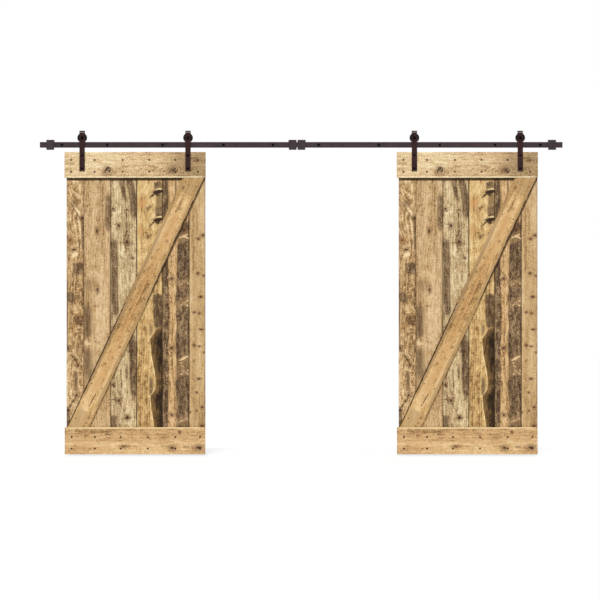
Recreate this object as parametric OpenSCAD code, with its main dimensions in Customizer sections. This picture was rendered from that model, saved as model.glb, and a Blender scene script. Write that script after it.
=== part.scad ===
// A pair of plank barn doors that roll on one flat-bar track.
// The origin is on the wall's face, level with the bar's centre line, at the middle of the track.
// +X runs along the track, +Y goes into the wall and +Z is up. Sizes are in millimetres.

/* [Track] */
// Length of the whole track
track_len = 3660; // [3000:10:4400]
// How far the joint between the two sections stands from the middle of the track
joint_shift = -29; // [-60:1:60]
// Height of the flat bar
rail_h = 40; // [33:1:48]
// Thickness of the flat bar
rail_t = 6; // [5:0.5:7]
// Distances of the outer screws from the nearer end of the track
screw_from_end = [155, 472, 860, 1286]; // [140:1:1300]
// Distances of the two inner screws from the joint, left and right
screw_from_joint = [169, 152]; // [120:1:190]

/* [Wall fixing] */
// Length of the spacers between the wall and the bar
spacer_len = 35; // [32:1:50]
// Outer diameter of the spacers
spacer_d = 20; // [14:1:24]
// Diameter of the lag screws' shanks
lag_d = 8; // [6:0.5:10]
// How much slimmer the threaded part of a lag screw is than its shank, on the radius
lag_thread_less = 0.5; // [0.3:0.1:0.8]
// How far the lag screws stand out behind the wall's face
lag_reach = 45; // [30:1:60]
// Width of a lag screw's hexagon head, flat to flat
lag_head_af = 13; // [10:1:15]
// Height of a lag screw's hexagon head
lag_head_h = 4.5; // [3:0.5:5]

/* [Splice] */
// Length of the strip behind the joint
splice_len = 112; // [80:1:116]
// Height of the strip behind the joint
splice_h = 26; // [16:1:27]
// Thickness of the strip behind the joint
splice_t = 5; // [3:0.5:5.5]
// Diameter of the splice screws
splice_screw_d = 6; // [4:0.5:6]
// Distance of the inner splice screws from the joint
splice_screw_from_joint = 14; // [10:0.5:16]
// Distance of the outer splice screws from the strip's ends
splice_screw_from_end = 12; // [8:0.5:16]

/* [Stops] */
// Width of each clamp block along the bar
stop_w = 54; // [40:1:60]
// How far each block stands above and below the bar
stop_rise = 15; // [10:1:20]
// Thickness of a block's front wall
stop_front = 8; // [6:0.5:8.5]
// How far a block's lips reach down and up behind the bar
stop_lip = 5; // [3:0.5:6]
// Distance from the track's end to the end block
stop_from_end = 46; // [20:1:80]
// Distance from the joint to each centre block
stop_from_joint = 3.5; // [1:0.5:20]
// How far the rubber pads stand out of the blocks
bumper_out = 3; // [2:0.5:6]

/* [Wheels] */
// Radius of a wheel at the bottom of its groove
groove_r = 29; // [24:0.5:34]
// Depth of the groove
groove_depth = 5; // [3:0.5:8]
// Width of a wheel
wheel_w = 20; // [16:0.5:22]
// Bore of the wheel bearings
axle_d = 12; // [10:0.5:13]
// Outer diameter of the wheel bearings
bearing_d = 32; // [28:0.5:35]
// Width of the wheel bearings
bearing_w = 10; // [8:0.5:12]

/* [Hangers] */
// Distance of each strap from its door's middle
hanger_half = 370.5; // [300:0.5:400]
// Width of the flat-bar straps
strap_w = 38; // [32:1:46]
// Thickness of the flat-bar straps
strap_t = 6; // [4:0.5:7]
// Gap between the two legs of a strap
strap_gap = 26; // [24:0.5:30]
// Height of a strap's top above its axle
strap_rise = 50; // [44:1:60]
// How far a strap reaches down its door
strap_drop = 134; // [110:1:160]
// How far a strap's back leg reaches below its axle
back_leg = 20; // [16:1:22]
// Depths of the strap bolts below the door's top edge
strap_bolt_drop = [23, 115]; // [20:1:130]
// Diameter of the strap bolts
strap_bolt_d = 8; // [6:0.5:10]

/* [Doors] */
// Distance of each door's middle from the middle of the track
door_centre = 1163; // [1050:1:1200]
// Height of a door
door_h = 2117; // [1750:1:2560]
// Gap between the bar and a door's top edge
door_gap = 30; // [24:1:40]
// Widths of the planks, from left to right
plank_widths = [120, 189, 182, 180, 187, 114]; // [90:1:230]
// Thickness of the planks
plank_t = 19; // [15:0.5:22]
// How far the planks as a whole stand to the right of the door's middle
planks_shift = 6; // [-10:1:10]
// Width of the top board
top_board_w = 988; // [960:1:1020]
// Height of the top board
top_board_h = 182; // [160:1:220]
// Width of the bottom board
bottom_board_w = 984; // [960:1:1020]
// Height of the bottom board
bottom_board_h = 190; // [160:1:230]
// Thickness of the two cross boards and the brace
board_t = 16; // [13:0.5:19]
// Width of the brace, square across its length
brace_w = 142; // [115:1:170]
// Distance of the brace's two outer corners from the planks' edges
brace_inset = 3; // [0:0.5:20]

/* [Joinery] */
// Gap between two planks
plank_gap = 0.6; // [0.4:0.1:0.9]
// Length of the planks' tongues
tongue = 6; // [4:0.5:8]
// Thickness of the planks' tongues
tongue_t = 6; // [4:0.5:7]
// Gap between the brace and each cross board
brace_gap = 0.5; // [0.2:0.1:0.9]
// Bevel along the boards' long edges
arris = 1.5; // [0.5:0.1:2]
// Diameter of the wood screws' heads
screw_head_d = 8; // [6:0.5:9]
// Length of the wood screws
screw_len = 30; // [22:1:32]
// Distances of the top board's two screw rows from the door's top edge
top_rows = [56, 139]; // [20:1:150]
// Distances of the bottom board's two screw rows from its top edge
bottom_rows = [69, 149]; // [20:1:155]
// How far the top board's screws stand from each plank's middle
top_offsets = [-28, -18, -7, -1, -2, 5]; // [-30:1:30]
// How far the bottom board's screws stand from each plank's middle
bottom_offsets = [-24, -16, -21, -12, -2, 20]; // [-30:1:30]

/* [Anti-jump discs] */
// Diameter of the discs
disc_d = 34; // [28:1:38]
// Gap between a disc and the bar above it
disc_gap = 3; // [2:0.5:5]

/* [Hidden] */
$fn = 48;

// Clearances
fit = 0.05; // a running or sliding fit, on the radius
ease = 0.3; // between a wheel and what it rolls on
stop_fit = 0.2; // between a block and the bar
hole_play = 0.15; // round a bolt or screw, on the radius
over = 1; // how far a cut runs past the face it opens

// Distance from a hexagon's middle to its corners
function hex_corner(flats) = flats / 2 / cos(30);

// Depths, from the wall outwards; y is negative in front of the wall
rail_back = -spacer_len;
rail_face = rail_back - rail_t;
wheel_y = rail_back - rail_t / 2;
strap_back = wheel_y - strap_gap / 2;
strap_face = strap_back - strap_t;
board_face = strap_back;
plank_face = board_face + board_t;
door_back = plank_face + plank_t;

// Heights
door_top = -rail_h / 2 - door_gap;
door_foot = door_top - door_h;
top_board_foot = door_top - top_board_h;
bottom_board_top = door_foot + bottom_board_h;
axle_z = rail_h / 2 + groove_r + ease;
strap_top = axle_z + strap_rise;
strap_foot = door_top - strap_drop;

// Track
track_end = track_len / 2;
joint_gap = 0.5;
bar_bevel = 0.8;
outer_screws = [for (side = [-1, 1]) for (d = screw_from_end) side * (track_end - d)];
inner_screws = [joint_shift - screw_from_joint[0], joint_shift + screw_from_joint[1]];
lag_screw_x = concat(outer_screws, inner_screws);
lag_flange_lip = 1;
lag_flange_r = hex_corner(lag_head_af) + lag_flange_lip;
lag_flange_h = 2;
lag_thread_r = lag_d / 2 - lag_thread_less;
lag_point = 8;
splice_screw_reach = [splice_screw_from_joint, splice_len / 2 - splice_screw_from_end];
splice_screw_x = [for (side = [-1, 1]) for (reach = splice_screw_reach) joint_shift + side * reach];

// Stops: each has its left edge and the side its rubber pad is on
stop_bevel = 3;
stop_depth_behind = 6;
stop_top = rail_h / 2 + stop_rise;
bumper_seat = 2;
bumper_edge = 1.5;
grub_r = 3;
grub_recess = 3;
grub_socket_af = 3;
grub_socket_depth = 3;
grub_half_spacing = 14;
STOPS = ["end_stop_left", "centre_stop_left", "centre_stop_right", "end_stop_right"];
function stop_left(name) =
    name == "end_stop_left" ? -track_end + stop_from_end
    : name == "centre_stop_left" ? joint_shift - stop_from_joint - stop_w
    : name == "centre_stop_right" ? joint_shift + stop_from_joint
    : track_end - stop_from_end - stop_w;
function pad_side(name) = name == "end_stop_left" || name == "centre_stop_right" ? 1 : -1;

// Wheels, bearings and axles
wheel_r = groove_r + groove_depth;
groove_side_play = 0.75;
groove_half = rail_t / 2 + groove_side_play;
groove_flare = 2.75;
wheel_edge = 1;
hub_wall = 4;
web_recess = 2;
bearing_shoulder = 2;
axle_r = axle_d / 2;
inner_ring_wall = 3.4;
outer_ring_wall = 1.8;
seal_recess = 0.5;
race_split = axle_r + inner_ring_wall;
sleeve_wall = 2.5;
sleeve_r = axle_r + sleeve_wall;
axle_head_af = 19;
axle_head_h = 7.5;
axle_nut_h = 8;
axle_tip = 2;
back_leg_back = strap_back + strap_gap + strap_t;

// Strap bolts
bolt_r = strap_bolt_d / 2;
dome_lip = 4.5;
dome_r = bolt_r + dome_lip;
dome_h = 5;
dome_sphere_r = (dome_r * dome_r + dome_h * dome_h) / (2 * dome_h);
socket_af = 5;
socket_depth = 3;
washer_rim = 6;
washer_r = bolt_r + washer_rim;
washer_t = 1.6;
nut_wall = 2.5;
nut_af = strap_bolt_d + 2 * nut_wall;
nut_h = 6;
bolt_tip = 1.5;
bolt_z = [for (drop = strap_bolt_drop) door_top - drop];

// Anti-jump discs
disc_t = 6;
disc_stem_d = 14;
disc_y = plank_face + plank_t / 2;
disc_top = -rail_h / 2 - disc_gap;
disc_screw_r = 2.5;
disc_screw_head_r = 4.5;
disc_screw_bite = 13;

// Planks and boards
groove_play = 0.2;
groove_extra = 0.5;
plank_arris = 1.2;
plank_count = len(plank_widths);
planks_w = sum_to(plank_widths, plank_count);
planks_left = planks_shift - planks_w / 2;
planks_right = planks_left + planks_w;
plank_mid_y = plank_face + plank_t / 2;
function sum_to(v, n) = n <= 0 ? 0 : v[n - 1] + sum_to(v, n - 1);
function plank_edge(i) = planks_left + sum_to(plank_widths, i);
function plank_middle(i) = (plank_edge(i) + plank_edge(i + 1)) / 2;

// Brace: its lean is where its outer corners meet the planks' edges
brace_top = top_board_foot - brace_gap;
brace_foot = bottom_board_top + brace_gap;
brace_rise = brace_top - brace_foot;
brace_left = planks_left + brace_inset;
brace_right = planks_right - brace_inset;
brace_span = brace_right - brace_left;
brace_reach = sqrt(brace_span * brace_span + brace_rise * brace_rise);
brace_lean = acos(brace_w / brace_reach) - atan2(brace_rise, brace_span);
brace_across = brace_w / cos(brace_lean);
brace_mid_x = (brace_left + brace_right) / 2;
brace_mid_z = (brace_top + brace_foot) / 2;
brace_screw_half = 40;
brace_end_screws = 45;
function brace_z_at(x) = brace_mid_z + (x - brace_mid_x) / tan(brace_lean);
function brace_x_at(z) = brace_mid_x + (z - brace_mid_z) * tan(brace_lean);

// Wood screws of one door, as [x, z] from the door's middle
screw_shank_r = screw_head_d / 4;
screw_head_h = 3;
screw_point = 5;
top_screws = [
    for (i = [0:plank_count - 1]) for (drop = top_rows) [plank_middle(i) + top_offsets[i], door_top - drop]
];
bottom_screws = [
    for (i = [0:plank_count - 1]) for (drop = bottom_rows)
        [plank_middle(i) + bottom_offsets[i], bottom_board_top - drop]
];
brace_ends_x = [brace_x_at(brace_foot + brace_end_screws), brace_x_at(brace_top - brace_end_screws)];
brace_pairs_x = concat(brace_ends_x, [for (i = [1:plank_count - 2]) plank_middle(i)]);
brace_screws = [
    for (x = brace_pairs_x) for (side = [-1, 1])
        [x + side * brace_screw_half * cos(brace_lean), brace_z_at(x) - side * brace_screw_half * sin(brace_lean)]
];
all_screws = concat(top_screws, bottom_screws, brace_screws);

// Doors and hangers
DOORS = ["left", "right"];
HANGERS = ["outer", "inner"];
hanger_local = [-hanger_half, hanger_half];
function door_side(door) = door == "left" ? -1 : 1;
function hanger_side(hanger) = hanger == "outer" ? 1 : -1;
function hanger_x(door, hanger) = door_side(door) * (door_centre + hanger_side(hanger) * hanger_half);

TRACK_NODES = concat(
    ["rail_left", "rail_right", "splice_plate", "splice_screws", "rail_spacers", "lag_screws"],
    STOPS,
    ["stop_bumpers", "stop_set_screws"]
);
DOOR_PIECES = concat(
    [for (i = [1:plank_count]) str("plank_", i)],
    ["top_board", "bottom_board", "brace", "wood_screws", "outer_strap", "inner_strap"],
    ["axle_bolts", "axle_nuts", "axle_sleeves", "inner_races", "strap_bolts", "strap_nuts"],
    ["anti_jump_discs", "anti_jump_screws", "outer_wheel", "outer_bearing", "inner_wheel", "inner_bearing"]
);
NODES = concat(TRACK_NODES, [for (door = DOORS) for (piece = DOOR_PIECES) str(door, "_", piece)]);
node = "all";
function shown(name) = node == "all" || node == name;

// Colours
bronze = "#453B39";
near_black = "#1E1B1B";
zinc = "#8C8C8E";
wood_tan = "#C7A878";
wood_gold = "#C9A264";
wood_brown = "#A88A64";
plank_colours = [wood_brown, wood_tan, "#CDB48C", wood_gold, wood_brown, wood_tan];

// ---- Helpers ----

// Cylinder along Y from y0 to y1
module rod_y(r, y0, y1, x = 0, z = 0) {
    translate([x, y0, z]) rotate([-90, 0, 0]) cylinder(r = r, h = y1 - y0);
}

// Hexagon prism along Y, two of its corners level
module hex_y(flats, y0, y1, x = 0, z = 0) {
    translate([x, y0, z]) rotate([-90, 0, 0]) cylinder(r = hex_corner(flats), h = y1 - y0, $fn = 6);
}

// Extrudes an outline drawn in Y and Z along X
module along_x(x0, x1) {
    translate([x0, 0, 0]) rotate([90, 0, 90]) linear_extrude(height = x1 - x0) children();
}

// Extrudes an outline drawn in X and Z along Y
module along_y(y0, y1) {
    translate([0, y1, 0]) rotate([90, 0, 0]) linear_extrude(height = y1 - y0) children();
}

// Spins a profile of [radius, y] points about the Y axis
module spun_y(points, x = 0, z = 0) {
    translate([x, 0, z]) rotate([-90, 0, 0]) rotate_extrude() polygon(points);
}

// Rectangle with its four corners bevelled
module bevelled(x0, x1, y0, y1, c) {
    polygon([
        [x0 + c, y0], [x1 - c, y0], [x1, y0 + c], [x1, y1 - c],
        [x1 - c, y1], [x0 + c, y1], [x0, y1 - c], [x0, y0 + c]
    ]);
}

module at_door(door) {
    translate([door_side(door) * door_centre, 0, 0]) children();
}

module at_hangers() {
    for (x = hanger_local) translate([x, 0, 0]) children();
}

// ---- Track ----

module rail(x0, x1) {
    color(bronze) difference() {
        along_x(x0, x1) bevelled(rail_face, rail_back, -rail_h / 2, rail_h / 2, bar_bevel);
        for (x = lag_screw_x) if (x > x0 && x < x1)
            rod_y(lag_d / 2 + hole_play, rail_face - over, rail_back + over, x);
        for (x = splice_screw_x) if (x > x0 && x < x1) splice_screw_shape(x, hole_play);
    }
}

module splice_plate() {
    x0 = joint_shift - splice_len / 2;
    color(bronze) difference() {
        along_x(x0, x0 + splice_len)
            bevelled(rail_back, rail_back + splice_t, -splice_h / 2, splice_h / 2, bar_bevel);
        for (x = splice_screw_x) splice_screw_shape(x, hole_play);
    }
}

// Countersunk screw, flush with the bar's front; grow makes its hole
module splice_screw_shape(x, grow = 0) {
    r = splice_screw_d / 2;
    past = grow > 0 ? over : 0;
    front = rail_face - past;
    back = rail_back + splice_t + past;
    spun_y([
        [0, front], [2 * r + grow, front], [2 * r + grow, rail_face],
        [r + grow, rail_face + r], [r + grow, back], [0, back]
    ], x);
}

module splice_screws() {
    color(bronze) for (x = splice_screw_x) splice_screw_shape(x);
}

module rail_spacers() {
    color(bronze) for (x = lag_screw_x) difference() {
        rod_y(spacer_d / 2, rail_back, 0, x);
        rod_y(lag_d / 2 + hole_play, rail_back - over, over, x);
    }
}

// Flanged hexagon head, shank as far as the wall's face, and the thread with its point behind it
module lag_screws() {
    flange_y = rail_face - lag_flange_h;
    color(near_black) for (x = lag_screw_x) union() {
        hex_y(lag_head_af, flange_y - lag_head_h, flange_y, x);
        rod_y(lag_flange_r, flange_y, rail_face, x);
        spun_y([
            [0, rail_face], [lag_d / 2, rail_face], [lag_d / 2, 0], [lag_thread_r, 0],
            [lag_thread_r, lag_reach - lag_point], [0, lag_reach]
        ], x);
    }
}

// Clamp block's section round the bar, in Y and Z
module stop_section() {
    front = rail_face - stop_front;
    back = rail_back + stop_depth_behind;
    lip = rail_h / 2 - stop_lip;
    inner = rail_h / 2 + stop_fit;
    difference() {
        bevelled(front, back, -stop_top, stop_top, stop_bevel);
        translate([rail_face - stop_fit, -inner]) square([rail_t + 2 * stop_fit, 2 * inner]);
        translate([rail_back, -lip]) square([stop_depth_behind + over, 2 * lip]);
    }
}

// The rubber pad's block, above the bar on the wheel's side
module bumper_shape(name, grow = 0) {
    past = grow > 0 ? over : 0;
    x_face = pad_side(name) > 0 ? stop_left(name) + stop_w : stop_left(name);
    x0 = pad_side(name) > 0 ? x_face - bumper_seat - grow : x_face - bumper_out - past;
    length = bumper_seat + bumper_out + grow + past;
    y0 = wheel_y - wheel_w / 2 + bumper_edge - grow;
    z0 = rail_h / 2 + bumper_edge - grow;
    z1 = stop_top - bumper_edge + grow;
    translate([x0, y0, z0]) cube([length, wheel_w - 2 * bumper_edge + 2 * grow, z1 - z0]);
}

module stop_block(name) {
    x0 = stop_left(name);
    color(bronze) difference() {
        along_x(x0, x0 + stop_w) stop_section();
        bumper_shape(name, fit);
        for (side = [-1, 1])
            translate([x0 + stop_w / 2 + side * grub_half_spacing, wheel_y, -stop_top - over])
                cylinder(r = grub_r, h = stop_rise + 2 * over);
    }
}

module stop_bumpers() {
    color(near_black) for (name = STOPS) bumper_shape(name);
}

// Grub screws, each tightened against the bar's lower edge
module stop_set_screws() {
    length = stop_rise - grub_recess;
    color(near_black) for (name = STOPS) for (side = [-1, 1])
        translate([stop_left(name) + stop_w / 2 + side * grub_half_spacing, wheel_y, -rail_h / 2 - length])
            difference() {
                cylinder(r = grub_r - fit, h = length);
                translate([0, 0, -over])
                    cylinder(r = hex_corner(grub_socket_af), h = grub_socket_depth + over, $fn = 6);
            }
}

// ---- Wheels ----

module wheel(x) {
    half = wheel_w / 2;
    seat = bearing_w / 2;
    seat_r = bearing_d / 2;
    shoulder_r = seat_r - bearing_shoulder;
    hub_r = seat_r + hub_wall;
    web_r = groove_r - web_recess;
    web_y = half - web_recess;
    color(near_black) translate([0, wheel_y, 0]) spun_y([
        [shoulder_r, -half], [hub_r, -half], [hub_r + web_recess, -web_y], [web_r, -web_y], [groove_r, -half],
        [wheel_r - wheel_edge, -half], [wheel_r, -half + wheel_edge], [wheel_r, -groove_half - groove_flare],
        [groove_r, -groove_half], [groove_r, groove_half],
        [wheel_r, groove_half + groove_flare], [wheel_r, half - wheel_edge], [wheel_r - wheel_edge, half],
        [groove_r, half], [web_r, web_y], [hub_r + web_recess, web_y], [hub_r, half],
        [seat_r, half], [seat_r, -seat], [shoulder_r, -seat]
    ], x, axle_z);
}

// Outer ring with its balls and seals, which can't be seen into
module bearing(x) {
    seat = bearing_w / 2;
    seal_y = seat - seal_recess;
    ring_r = bearing_d / 2 - outer_ring_wall;
    inner_r = race_split + fit;
    color(zinc) translate([0, wheel_y, 0]) spun_y([
        [inner_r, -seal_y], [ring_r, -seal_y], [ring_r, -seat], [bearing_d / 2, -seat],
        [bearing_d / 2, seat], [ring_r, seat], [ring_r, seal_y], [inner_r, seal_y]
    ], x, axle_z);
}

module ring_y(r_in, r_out, y0, y1) {
    difference() {
        rod_y(r_out, y0, y1, 0, axle_z);
        rod_y(r_in, y0 - over, y1 + over, 0, axle_z);
    }
}

module inner_races() {
    color(zinc) at_hangers() ring_y(axle_r + fit, race_split, wheel_y - bearing_w / 2, wheel_y + bearing_w / 2);
}

module axle_sleeves() {
    color(zinc) at_hangers() {
        ring_y(axle_r + fit, sleeve_r, strap_back, wheel_y - bearing_w / 2);
        ring_y(axle_r + fit, sleeve_r, wheel_y + bearing_w / 2, strap_back + strap_gap);
    }
}

module axle_bolts() {
    color(near_black) at_hangers() union() {
        hex_y(axle_head_af, strap_face - axle_head_h, strap_face, 0, axle_z);
        rod_y(axle_r, strap_face, back_leg_back + axle_nut_h + axle_tip, 0, axle_z);
    }
}

module axle_nuts() {
    color(near_black) at_hangers() difference() {
        hex_y(axle_head_af, back_leg_back, back_leg_back + axle_nut_h, 0, axle_z);
        rod_y(axle_r + fit, back_leg_back - over, back_leg_back + axle_nut_h + over, 0, axle_z);
    }
}

// ---- Straps ----

// Flat bar bent over the wheel: a long front leg, half a ring and a short back leg with a round end
module strap(x) {
    bend_r = strap_gap / 2 + strap_t;
    bend_z = strap_top - bend_r;
    leg_foot = axle_z - back_leg + strap_w / 2;
    color(bronze) translate([x, 0, 0]) difference() {
        union() {
            along_x(-strap_w / 2, strap_w / 2) union() {
                translate([strap_face, strap_foot]) square([strap_t, bend_z - strap_foot]);
                translate([wheel_y, bend_z]) difference() {
                    circle(r = bend_r);
                    circle(r = strap_gap / 2);
                    translate([-bend_r - over, -bend_r - over]) square([2 * (bend_r + over), bend_r + over]);
                }
                translate([strap_back + strap_gap, leg_foot]) square([strap_t, bend_z - leg_foot]);
            }
            rod_y(strap_w / 2, strap_back + strap_gap, back_leg_back, 0, leg_foot);
        }
        rod_y(axle_r + hole_play, strap_face - over, back_leg_back + over, 0, axle_z);
        for (z = bolt_z) rod_y(bolt_r + hole_play, strap_face - over, strap_back + over, 0, z);
    }
}

// Domed head with a hexagon socket, and a shank through strap, board and plank
module strap_bolts() {
    shank_end = door_back + washer_t + nut_h + bolt_tip;
    color(near_black) at_hangers() for (z = bolt_z) translate([0, 0, z]) difference() {
        union() {
            intersection() {
                translate([0, strap_face - dome_h + dome_sphere_r, 0]) sphere(r = dome_sphere_r);
                rod_y(dome_r + over, strap_face - dome_h - over, strap_face);
            }
            rod_y(bolt_r, strap_face, shank_end);
        }
        hex_y(socket_af, strap_face - dome_h - over, strap_face - dome_h + socket_depth);
    }
}

module strap_nuts() {
    nut_y = door_back + washer_t;
    color(near_black) at_hangers() for (z = bolt_z) translate([0, 0, z]) {
        difference() {
            rod_y(washer_r, door_back, nut_y);
            rod_y(bolt_r + hole_play, door_back - over, nut_y + over);
        }
        difference() {
            hex_y(nut_af, nut_y, nut_y + nut_h);
            rod_y(bolt_r + fit, nut_y - over, nut_y + nut_h + over);
        }
    }
}

// Holes for the strap bolts through boards and planks
module bolt_holes() {
    at_hangers() for (z = bolt_z) rod_y(bolt_r + hole_play, board_face - over, door_back + over, 0, z);
}

// ---- Anti-jump discs ----

module disc_screw_shape(grow = 0) {
    top = disc_top + (grow > 0 ? over : 0);
    shoulder = disc_top - disc_screw_head_r + disc_screw_r;
    tip = door_top - disc_screw_bite - grow;
    translate([0, disc_y, 0]) rotate_extrude() polygon([
        [0, top], [disc_screw_head_r + grow, top], [disc_screw_head_r + grow, disc_top],
        [disc_screw_r + grow, shoulder], [disc_screw_r + grow, tip + disc_screw_r], [0, tip]
    ]);
}

// Turned in one piece with its stem, which stands on the door's top edge
module anti_jump_discs() {
    color(near_black) at_hangers() difference() {
        union() {
            translate([0, disc_y, disc_top - disc_t]) cylinder(d = disc_d, h = disc_t);
            translate([0, disc_y, door_top]) cylinder(d = disc_stem_d, h = disc_top - disc_t - door_top);
        }
        disc_screw_shape(hole_play);
    }
}

module anti_jump_screws() {
    color(near_black) at_hangers() disc_screw_shape();
}

// ---- Wood ----

// Countersunk wood screw from the boards' front; grow makes its hole
module wood_screw_shape(x, z, grow = 0) {
    front = board_face - (grow > 0 ? over : 0);
    tip = board_face + screw_len + grow;
    spun_y([
        [0, front], [screw_head_d / 2 + grow, front], [screw_head_d / 2 + grow, board_face],
        [screw_shank_r + grow, board_face + screw_head_h], [screw_shank_r + grow, tip - screw_point], [0, tip]
    ], x, z);
}

module wood_screws() {
    color(near_black) for (s = all_screws) wood_screw_shape(s[0], s[1]);
}

// One upright plank: a groove on its left edge takes its neighbour's tongue
module plank(i) {
    first = i == 0;
    last = i == plank_count - 1;
    x0 = plank_edge(i) + (first ? 0 : plank_gap / 2);
    x1 = plank_edge(i + 1) - (last ? 0 : plank_gap / 2);
    tongue_half = tongue_t / 2;
    groove_half_t = tongue_half + groove_play;
    groove_x = x0 + tongue + groove_extra;
    right_edge = last ? [] : [
        [x1, plank_mid_y - tongue_half], [x1 + tongue, plank_mid_y - tongue_half],
        [x1 + tongue, plank_mid_y + tongue_half], [x1, plank_mid_y + tongue_half]
    ];
    left_edge = first ? [] : [
        [x0, plank_mid_y + groove_half_t], [groove_x, plank_mid_y + groove_half_t],
        [groove_x, plank_mid_y - groove_half_t], [x0, plank_mid_y - groove_half_t]
    ];
    c = plank_arris;
    color(plank_colours[i % len(plank_colours)]) difference() {
        translate([0, 0, door_foot]) linear_extrude(height = door_h) polygon(concat(
            [[x0, plank_face + c], [x0 + c, plank_face], [x1 - c, plank_face], [x1, plank_face + c]],
            right_edge,
            [[x1, door_back - c], [x1 - c, door_back], [x0 + c, door_back], [x0, door_back - c]],
            left_edge
        ));
        for (s = all_screws) if (s[0] > x0 - screw_head_d && s[0] < x1 + screw_head_d)
            wood_screw_shape(s[0], s[1], hole_play);
        bolt_holes();
        at_hangers() disc_screw_shape(hole_play);
    }
}

module cross_board(width, z0, z1, screws) {
    difference() {
        along_x(-width / 2, width / 2) bevelled(board_face, plank_face, z0, z1, arris);
        for (s = screws) wood_screw_shape(s[0], s[1], hole_play);
        bolt_holes();
    }
}

module top_board() {
    color(wood_tan) cross_board(top_board_w, top_board_foot, door_top, top_screws);
}

module bottom_board() {
    color(wood_gold) cross_board(bottom_board_w, door_foot, bottom_board_top, bottom_screws);
}

// One slanting board with level ends, from the bottom left corner to the top right one
module brace() {
    color(wood_gold) difference() {
        along_y(board_face, plank_face) polygon([
            [brace_left, brace_foot], [brace_left + brace_across, brace_foot],
            [brace_right, brace_top], [brace_right - brace_across, brace_top]
        ]);
        for (s = brace_screws) wood_screw_shape(s[0], s[1], hole_play);
    }
}

// ---- Nodes ----

if (shown("rail_left")) rail(-track_end, joint_shift - joint_gap / 2);
if (shown("rail_right")) rail(joint_shift + joint_gap / 2, track_end);
if (shown("splice_plate")) splice_plate();
if (shown("splice_screws")) splice_screws();
if (shown("rail_spacers")) rail_spacers();
if (shown("lag_screws")) lag_screws();
for (name = STOPS) if (shown(name)) stop_block(name);
if (shown("stop_bumpers")) stop_bumpers();
if (shown("stop_set_screws")) stop_set_screws();
for (door = DOORS) {
    for (i = [0:plank_count - 1]) if (shown(str(door, "_plank_", i + 1))) at_door(door) plank(i);
    if (shown(str(door, "_top_board"))) at_door(door) top_board();
    if (shown(str(door, "_bottom_board"))) at_door(door) bottom_board();
    if (shown(str(door, "_brace"))) at_door(door) brace();
    if (shown(str(door, "_wood_screws"))) at_door(door) wood_screws();
    if (shown(str(door, "_axle_bolts"))) at_door(door) axle_bolts();
    if (shown(str(door, "_axle_nuts"))) at_door(door) axle_nuts();
    if (shown(str(door, "_axle_sleeves"))) at_door(door) axle_sleeves();
    if (shown(str(door, "_inner_races"))) at_door(door) inner_races();
    if (shown(str(door, "_strap_bolts"))) at_door(door) strap_bolts();
    if (shown(str(door, "_strap_nuts"))) at_door(door) strap_nuts();
    if (shown(str(door, "_anti_jump_discs"))) at_door(door) anti_jump_discs();
    if (shown(str(door, "_anti_jump_screws"))) at_door(door) anti_jump_screws();
    for (hanger = HANGERS) {
        if (shown(str(door, "_", hanger, "_strap"))) strap(hanger_x(door, hanger));
        if (shown(str(door, "_", hanger, "_wheel"))) wheel(hanger_x(door, hanger));
        if (shown(str(door, "_", hanger, "_bearing"))) bearing(hanger_x(door, hanger));
    }
}
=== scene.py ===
"""Looks for a pair of plank barn doors that roll on a flat-bar track.

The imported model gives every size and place. The wood is rebuilt as dense, eased and knotty boards;
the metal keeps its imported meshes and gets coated, blackened or ground finishes.
"""

import logging
import math
from dataclasses import dataclass, field
from enum import Enum
from typing import Callable

import bmesh
import bpy
import numpy as np
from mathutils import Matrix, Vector


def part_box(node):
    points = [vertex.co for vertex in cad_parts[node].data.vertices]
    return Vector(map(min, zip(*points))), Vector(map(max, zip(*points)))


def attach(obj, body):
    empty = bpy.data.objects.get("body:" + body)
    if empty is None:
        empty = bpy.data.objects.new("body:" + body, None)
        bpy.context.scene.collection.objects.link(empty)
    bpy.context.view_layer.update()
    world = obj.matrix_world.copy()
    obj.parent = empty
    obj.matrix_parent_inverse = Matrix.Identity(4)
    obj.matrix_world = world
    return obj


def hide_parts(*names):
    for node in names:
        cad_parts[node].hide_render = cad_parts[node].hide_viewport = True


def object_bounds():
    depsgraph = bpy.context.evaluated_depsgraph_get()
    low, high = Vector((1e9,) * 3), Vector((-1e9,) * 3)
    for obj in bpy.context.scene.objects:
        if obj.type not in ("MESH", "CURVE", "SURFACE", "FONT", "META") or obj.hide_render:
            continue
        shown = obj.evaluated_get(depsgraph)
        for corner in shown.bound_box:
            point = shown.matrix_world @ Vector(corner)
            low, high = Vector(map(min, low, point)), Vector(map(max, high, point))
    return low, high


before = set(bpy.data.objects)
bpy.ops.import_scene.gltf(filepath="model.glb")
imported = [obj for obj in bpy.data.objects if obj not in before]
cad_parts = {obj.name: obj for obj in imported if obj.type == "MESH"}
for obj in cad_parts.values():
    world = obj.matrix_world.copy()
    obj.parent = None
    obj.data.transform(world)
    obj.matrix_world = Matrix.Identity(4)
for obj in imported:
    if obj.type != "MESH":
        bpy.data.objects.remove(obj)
CAD_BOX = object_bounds()

LOG = logging.getLogger("barn_doors")
Array = np.ndarray
# One millimetre, in the frame's metres
MM = 0.001
# Faces that meet at a wider angle than this, in degrees, are shaded with a sharp edge
SHARP_ANGLE = 35


# ---------------------------------------------------------------- numbers and noise


def hash_unit(i: Array, j: Array, seed: int) -> Array:
    """Scrambles whole numbers to a value from 0 to 1 that looks random but never changes.

    Args:
        i: First lattice index.
        j: Second lattice index.
        seed: Which of many patterns.

    Returns:
        The values, in the shape of i and j.
    """
    n = i.astype(np.int64) * 374761393 + j.astype(np.int64) * 668265263 + seed * 1274126177
    n = (n ^ (n >> 13)) * 1103515245
    n = (n ^ (n >> 16)) & 0x7FFFFFFF
    return n / float(0x7FFFFFFF)


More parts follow.
